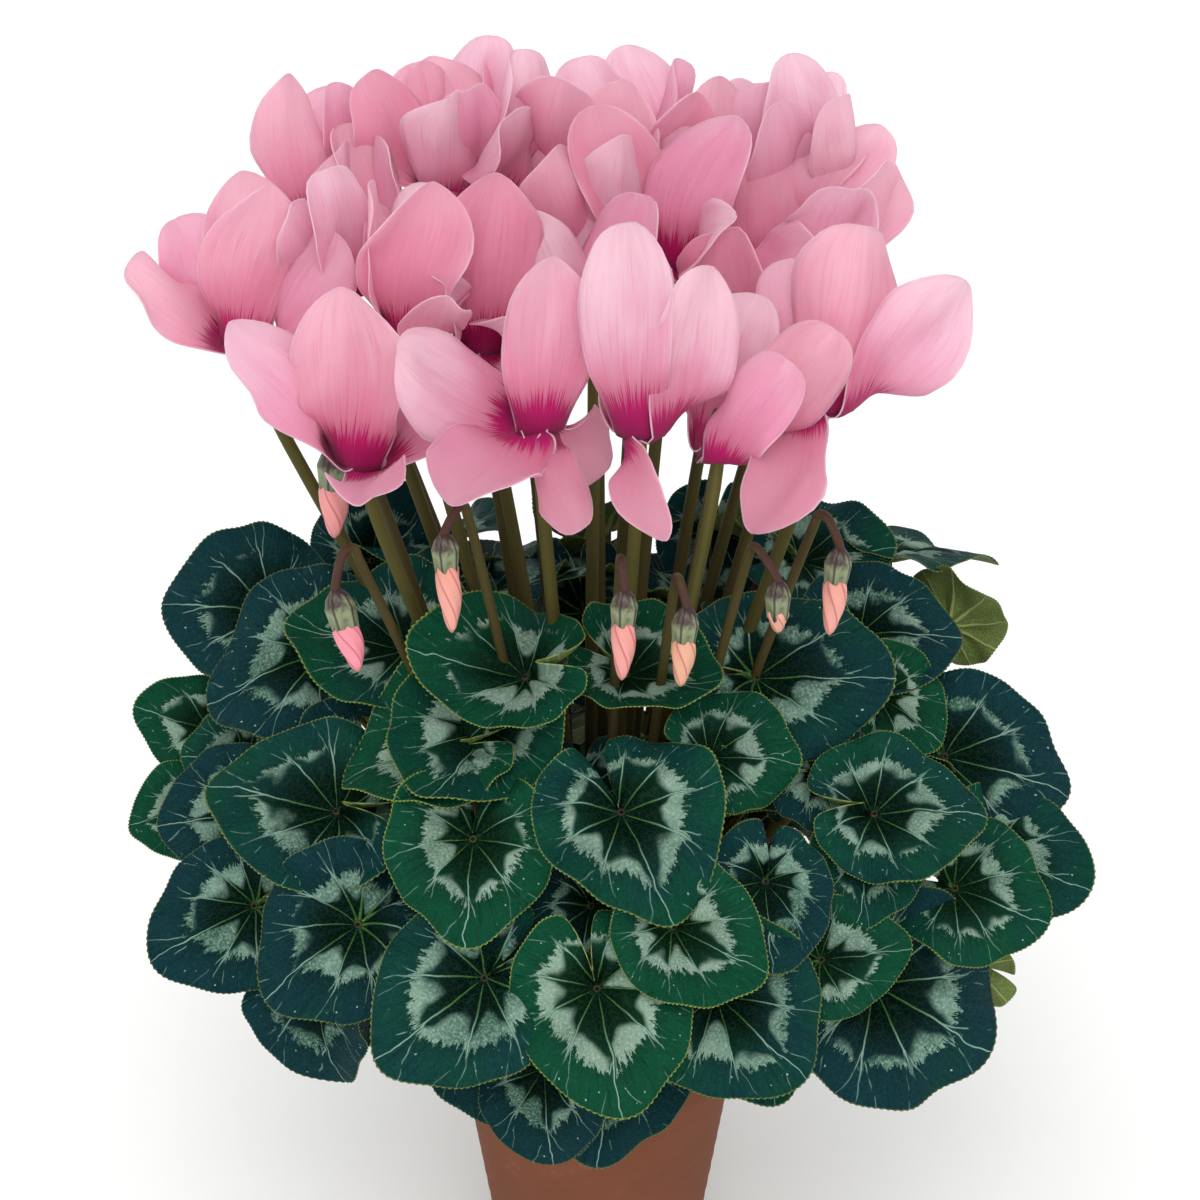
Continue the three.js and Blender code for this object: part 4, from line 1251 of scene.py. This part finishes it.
def petal_traits(rise, paleness, rng):
    """Seed, paleness and how dusky the petal is."""
    pale = rng.choice(paleness)
    if rise < DROOP_RISE:
        dusky = rng.uniform(0.5, 0.9)
        pale = pale * 0.4
    else:
        dusky = rng.uniform(0, 0.1)
    return rng.uniform(0, 1), pale, dusky


def petal_relief(whims, off, v, long, width):
    """How far a petal's points stand out of the flat blade. off is how far across they are, from
    -1 to 1 where it is widest, and v how far along."""
    rolled = np.maximum(whims.roll_side * off - 0.25, 0) ** 2
    depth = whims.cup * (off ** 2 - 0.3) + whims.crease * np.sqrt(off ** 2 + 0.004)
    depth = depth + whims.roll * rolled
    depth = depth + 0.07 * np.sin(v * 8 + whims.phase[0]) * off ** 3
    depth = depth + 0.035 * np.sin(v * 15 + whims.phase[1]) * np.abs(off) ** 3
    depth = depth + 0.045 * np.sin(off * 4 + v * 5 + whims.phase[2])
    depth = depth + 0.006 * np.sin(off * 17 + whims.phase[3]) * (1 - v)
    bow = whims.bow * np.sin(np.pi * v) * smooth(v, 0.1, 0.4)
    curl = whims.tip_curl * smooth(v, 0.6, 1.1)
    return depth * smooth(v, 0.15, 0.6) * width + (bow + curl) * long


def petal_surface(nose, row, slot, whims, u, v):
    """The middle of a petal's thickness as a grid of points, and half its width at each row."""
    lean, rise, turn, long, width = row
    along, face = petal_frame(lean, rise, turn)
    level = np.array((math.sin(slot), -math.cos(slot), 0))
    line = petal_line(nose, level, along, long, rise)
    tangents = unit(np.gradient(line, axis=0))
    blade_across = np.cross(face, along)
    base_across = np.cross(UP, level)
    if base_across.dot(blade_across) < 0:
        base_across = -base_across
    across = blend(base_across, blade_across, smooth(v, 0.08, 0.5))
    across = unit(across - tangents * np.sum(across * tangents, axis=1, keepdims=True))
    normals = np.cross(tangents, across)
    twist = whims.twist * smooth(v, 0.25, 1)
    across, normals = (across * np.cos(twist) + normals * np.sin(twist),
                       normals * np.cos(twist) - across * np.sin(twist))

    half_width = petal_width(v, whims.point) * width / 2
    off = u * petal_width(v, whims.point)
    rolled = np.abs(whims.roll) * np.maximum(whims.roll_side * off, 0) * smooth(v, 0.15, 0.6)
    sideways = u * half_width * (1 - 0.3 * rolled)
    sideways = sideways + whims.bend * long * np.sin(np.pi * 1.5 * v) * v
    inward = (u * half_width) ** 2 / (2 * MOUTH_RADIUS) * (1 - smooth(v, 0.08, 0.4))
    depth = petal_relief(whims, off, v, long, width)
    middle = line[:, None] + across[:, None] * sideways[..., None]
    middle = middle + normals[:, None] * depth[..., None] - level * inward[..., None]
    return middle, half_width


def grid_outline(grid):
    """Once round the edge of a grid."""
    return np.concatenate([grid[:-1, 0], grid[-1, :-1], grid[:0:-1, -1], grid[0, :0:-1]])


def add_petal(body, nose, row, slot, rng, thickness, paleness):
    lean, rise, turn, long, width = row
    width = PETAL_LEAST_WIDTH + PETAL_WIDTH_SHARE * width
    long = PETAL_LENGTH_SHARE * long
    u = np.linspace(-1, 1, PETAL_COLUMNS)[None]
    v = petal_shares()[:, None]
    whims = petal_whims(rng)
    drawn = (lean, rise, turn, long, width)
    middle, half_width = petal_surface(nose, drawn, slot, whims, u, v)
    outward = grid_normals(middle, closed=False)
    half = thickness / 2 * (1 - 0.6 * np.maximum(np.abs(u) ** 6, v ** 12))[..., None]
    traits = petal_traits(rise, paleness, rng)
    top = body.add_points(middle + outward * half, traits)
    under = body.add_points(middle - outward * half, traits)

    from_edge = np.minimum((1 - np.abs(u)) * half_width, (1 - v) * long)
    rim = np.stack([1 - np.minimum(from_edge / RIM_REACH, 1), np.zeros_like(from_edge)], axis=2)
    maps = {"petal": np.stack(np.broadcast_arrays((u + 1) / 2, v), axis=2), "rim": rim}
    body.add_grid(top, "petal_satin", maps)
    body.add_grid(under, "petal_satin", maps, flip=True)
    edge_maps = {}
    for key, grid in maps.items():
        ring = grid_outline(grid)
        edge_maps[key] = np.stack([np.concatenate([ring, ring[:1]])] * 2)
    edge = np.stack([grid_outline(top), grid_outline(under)])
    body.add_grid(edge, "petal_satin", edge_maps, closed=True)


def add_nose(body, nose, radius, seed):
    """The short tube that the petals spring from, and the green calyx on top of it."""
    outline = [(0, -2.4), (radius * 0.6, -2.5), (radius * 0.95, -1.5), (radius * 1.02, 0.5),
               (radius, 2.5), (radius * 0.85, 4.6), (radius * 0.55, 6), (0, 6.4)]

    def lobed(r, height, turns):
        return r * (1 + 0.05 * np.cos(turns * 5)), height
    body.add_turned(outline, NOSE_SIDES, "petal_satin", shape=lobed, traits=(seed, 0, 0),
                    axis=(nose, UP), capped=True)
    sepals = [(0, 7.6), (1.6, 7.5), (3, 6.3), (4.2, 4.6), (5, 3.2), (4.6, 2.8), (3.9, 4),
              (2.6, 5.4), (0, 5.8)]

    def starred(r, height, turns):
        return r, np.where(r > 4, height + 1.8 * (1 - np.abs(np.cos(turns * 2.5))), height)
    body.add_turned(sepals[::-1], SEPAL_SIDES, "calyx", "calyx", shape=starred,
                    axis=(nose, UP), capped=True)


def make_flower(name, nose, petals, place, seed, node, paleness):
    sizes = bpy.context.scene.cyclamen_sizes
    rng = np.random.default_rng(seed)
    nose = np.array(nose, float)
    body = Body()
    for row, slot in zip(petals, petal_slots(petals)):
        add_petal(body, nose, row, slot, rng, sizes.petal / MM, paleness)
    add_nose(body, nose, sizes.nose / MM, rng.uniform(0, 1))
    root, foot = stalk_start(place)
    hook = [nose + BACK * 6.5 - UP * 10, nose + BACK * 8 + UP * 4, nose + BACK * 4.5 + UP * 10,
            nose + UP * 7]
    path = smooth_path([root, foot, blend(foot, nose, STALK_MIDDLE), *hook], 8)
    traits = (rng.uniform(0, 1), 0, rng.uniform(-1, 0.8))
    body.add_stalk(path, sizes.flower_stalk / MM, FLOWER_TAPER, HEAD_STALK_SIDES, traits)
    body.make_piece(name, node)


# ---- buds ----
def make_bud(name, row, place, seed, node):
    """A bud's calyx and closed petals. Their axis points down from the stalk, so their outlines
    start at the stalk."""
    hook, calyx, tip, radius, pink = row
    sizes = bpy.context.scene.cyclamen_sizes
    rng = np.random.default_rng(seed)
    hook, calyx, tip = (np.array(p, float) for p in (hook, calyx, tip))
    axis = (calyx, tip - calyx)
    long = float(np.linalg.norm(tip - calyx))
    traits = (rng.uniform(0, 1), pink, 1)
    body = Body()

    cup = [(0, -0.4), (1.7, -0.3), (radius * 0.8, radius * 0.5), (radius * 1.05, radius * 1.2),
           (radius * 0.98, radius * 1.9), (radius * 0.86, radius * 2.4),
           (radius * 0.78, radius * 2.35), (radius * 0.8, radius * 1.7), (0, radius * 1.3)]

    def ribbed(r, height, turns):
        ridge = np.abs(np.cos(turns * 2.5))
        points = np.where(height > radius * 2.2, radius * 0.9 * ridge ** 2, 0)
        return r * (1 + 0.05 * ridge * (r > 2)), height + points
    body.add_turned(cup, BUD_SIDES, "calyx", "calyx", shape=ribbed, traits=traits, axis=axis,
                    capped=True)

    shares = np.linspace(0.12, 1, 18)
    girth = radius * (0.62 + 0.3 * np.sin(np.pi * (shares * 0.9 + 0.05)))
    girth = girth * np.sqrt(np.clip(1 - ((shares - 0.12) / 0.885) ** 4, 0.015, 1))
    free = smooth(shares * long, radius * 2, radius * 3.2)
    girth = np.minimum(girth, radius * blend(0.64, 1, free))
    spindle = [(0, 0.12 * long), *zip(girth, shares * long), (0, long)]
    twist = FURL * 2 * math.pi / 5

    def furled(r, height, turns):
        swirl = turns + height / long * twist
        return r * (1 + 0.09 * np.cos(swirl * 5) + 0.1 * np.cos(swirl + traits[0])), height
    body.add_turned(spindle, BUD_SIDES, "bud_petals", "calyx", shape=furled, traits=traits,
                    axis=axis, capped=True)

    root, foot = stalk_start(place)
    away = unit((foot - calyx) * (1, 1, 0)) + BACK * 0.4
    shoulder = hook + away * 6 - UP * 7
    inside = blend(calyx, tip, 0.05)
    path = smooth_path([root, foot, blend(foot, shoulder, 0.5), shoulder,
                        hook + away * 3.5 - UP * 0.5, hook, calyx, inside], 7)
    body.add_stalk(path, sizes.bud_stalk / MM, BUD_TAPER, HEAD_STALK_SIDES, traits)
    body.make_piece(name, node)


# ---- stage, in metres ----
FLOOR_HALF = 8
CAMERA_PLACE = (0.001, -1.1864, 0.964)
CAMERA_PITCH = math.radians(60)

# The camera's lens and sensor are in millimetres, as Blender has them.
CAMERA_LENS = 119
CAMERA_SENSOR = 36

# Broad, soft lights: name, turn round the plant from the front, height above level and breadth,
# in degrees.
LIGHTS = (
    ("key", -18, 54, 40),
    ("fill", 8, 42, 40),
)


def add_light(name, turn, height, breadth, strength):
    light = bpy.data.lights.new(f"stage_{name}", "SUN")
    light.angle = math.radians(breadth)
    light.energy = strength
    lamp = bpy.data.objects.new(light.name, light)
    bpy.context.scene.collection.objects.link(lamp)
    lamp.location = (0, 0, 1)
    lamp.rotation_euler = (math.radians(90 - height), 0, math.radians(turn))


def floor_finish(settings):
    finish = Finish("stage_floor", specular_ior_level=0.1)
    cloud = finish.noise(finish.place(), 3, 2)
    tone = finish.mix(settings.floor, "ffffff", cloud * 0.2 + 0.5)
    return finish.close(tone, 0.9 + cloud * 0.02, cloud, 0.01)


def make_sky(settings):
    """Light from all round, and white near the horizon, where the floor ends."""
    world = bpy.data.worlds.new("stage_sky")
    world.use_nodes = True
    nodes = Nodes(world.node_tree)
    shade = nodes.tree.nodes["Background"]
    direction = nodes.node("ShaderNodeTexCoord")
    above = nodes.node("ShaderNodeSeparateXYZ", None, {0: direction}, 2).step(0.08, 0.3)
    nodes.feed(shade.inputs["Color"], "ffffff")
    nodes.feed(shade.inputs["Strength"], 1 - above * (1 - settings.sky))
    return world


def make_stage(settings):
    scene = bpy.context.scene
    mesh = bpy.data.meshes.new("stage_floor")
    corners = [(x * FLOOR_HALF, y * FLOOR_HALF, 0) for x, y in ((-1, -1), (1, -1), (1, 1), (-1, 1))]
    mesh.from_pydata(corners, [], [(0, 1, 2, 3)])
    mesh.materials.append(floor_finish(settings))
    floor = bpy.data.objects.new("stage_floor", mesh)
    scene.collection.objects.link(floor)
    for name, *aim in LIGHTS:
        add_light(name, *aim, getattr(settings, name))
    scene.world = make_sky(settings)
    camera = bpy.data.cameras.new("stage_camera")
    camera.lens = CAMERA_LENS
    camera.sensor_width = CAMERA_SENSOR
    camera.clip_end = 50
    holder = bpy.data.objects.new("stage_camera", camera)
    scene.collection.objects.link(holder)
    holder.location = CAMERA_PLACE
    holder.rotation_euler = (CAMERA_PITCH, 0, 0)
    scene.camera = holder
    scene.view_settings.view_transform = "Standard"


# ---- operators ----
class CYCLAMEN_OT_pot(Operator):
    """Make the clay pot"""
    bl_idname = "cyclamen.pot"
    bl_label = "Pot"

    def execute(self, context):
        make_pot()
        return {"FINISHED"}


class CYCLAMEN_OT_soil(Operator):
    """Make the potting soil that fills the pot"""
    bl_idname = "cyclamen.soil"
    bl_label = "Potting soil"

    def execute(self, context):
        make_soil()
        return {"FINISHED"}


class CYCLAMEN_OT_corm(Operator):
    """Make the corm that every stalk grows from"""
    bl_idname = "cyclamen.corm"
    bl_label = "Corm"

    def execute(self, context):
        make_corm()
        return {"FINISHED"}


class CYCLAMEN_OT_leaves(Operator):
    """Make the leaves, each with its stalk"""
    bl_idname = "cyclamen.leaves"
    bl_label = "Leaves"

    def execute(self, context):
        more = [*FILL_LEAVES, *UNDER_LEAVES, *BACK_LEAVES]
        groups = ((LEAVES, LEAF_RING_RADII, 0), (more, FILL_RING_RADII, len(LEAVES)))
        for rows, rings, done in groups:
            places = crown_places([row[:3] for row in rows], rings)
            for i, (row, place) in enumerate(zip(rows, places), done + 1):
                node = f"leaf_{i:02d}" if rows is LEAVES else None
                make_leaf(f"cyclamen_leaf_{i:02d}", row, place, LEAF_SEED + i, node)
        return {"FINISHED"}


def head_places():
    """Places on the corm for the buds, then the flowers."""
    heads = [row[0] for row in BUDS] + [nose for nose, _ in FLOWERS]
    places = crown_places(heads, FLOWER_RING_RADII)
    return places[:len(BUDS)], places[len(BUDS):]


class CYCLAMEN_OT_flowers(Operator):
    """Make the flowers, each with its stalk"""
    bl_idname = "cyclamen.flowers"
    bl_label = "Flowers"

    def execute(self, context):
        places = head_places()[1]
        for i, ((nose, petals), place) in enumerate(zip(FLOWERS, places), 1):
            node = f"flower_{i:02d}"
            paleness = MORE_PALENESS if i in PALE_FLOWERS else PALENESS
            seed = FLOWER_SEED + i
            make_flower(f"cyclamen_{node}", nose, petals, place, seed, node, paleness)
        return {"FINISHED"}


class CYCLAMEN_OT_buds(Operator):
    """Make the buds, each with its hooked stalk"""
    bl_idname = "cyclamen.buds"
    bl_label = "Buds"

    def execute(self, context):
        for i, (row, place) in enumerate(zip(BUDS, head_places()[0]), 1):
            make_bud(f"cyclamen_bud_{i:02d}", row, place, BUD_SEED + i, f"bud_{i:02d}")
        return {"FINISHED"}


class CYCLAMEN_OT_stage(Operator):
    """Make the floor, the lights and the camera"""
    bl_idname = "cyclamen.stage"
    bl_label = "Stage"

    def execute(self, context):
        make_stage(context.scene.cyclamen_stage)
        return {"FINISHED"}


OPERATORS = (CYCLAMEN_OT_pot, CYCLAMEN_OT_soil, CYCLAMEN_OT_corm, CYCLAMEN_OT_leaves,
             CYCLAMEN_OT_flowers, CYCLAMEN_OT_buds, CYCLAMEN_OT_stage)
GROUPS = {"cyclamen_sizes": PlantSizes, "cyclamen_colours": PlantColours,
          "cyclamen_stage": StageSettings}


class CYCLAMEN_PT_panel(Panel):
    """The cyclamen's pieces, sizes and colours"""
    bl_label = "Potted cyclamen"
    bl_idname = "CYCLAMEN_PT_panel"
    bl_space_type = "VIEW_3D"
    bl_region_type = "UI"
    bl_category = "Cyclamen"

    def draw(self, context):
        for name in GROUPS:
            group = getattr(context.scene, name)
            box = self.layout.box()
            for key in group.__annotations__:
                box.prop(group, key)
        for operator in OPERATORS:
            self.layout.operator(operator.bl_idname)


CLASSES = (*GROUPS.values(), *OPERATORS, CYCLAMEN_PT_panel)


def register():
    for cls in CLASSES:
        bpy.utils.register_class(cls)
    for name, group in GROUPS.items():
        setattr(bpy.types.Scene, name, PointerProperty(type=group))


def unregister():
    for name in GROUPS:
        delattr(bpy.types.Scene, name)
    for cls in reversed(CLASSES):
        bpy.utils.unregister_class(cls)


def main():
    register()
    for operator in OPERATORS:
        group, name = operator.bl_idname.split(".")
        getattr(getattr(bpy.ops, group), name)()


if __name__ == "__main__":
    main()
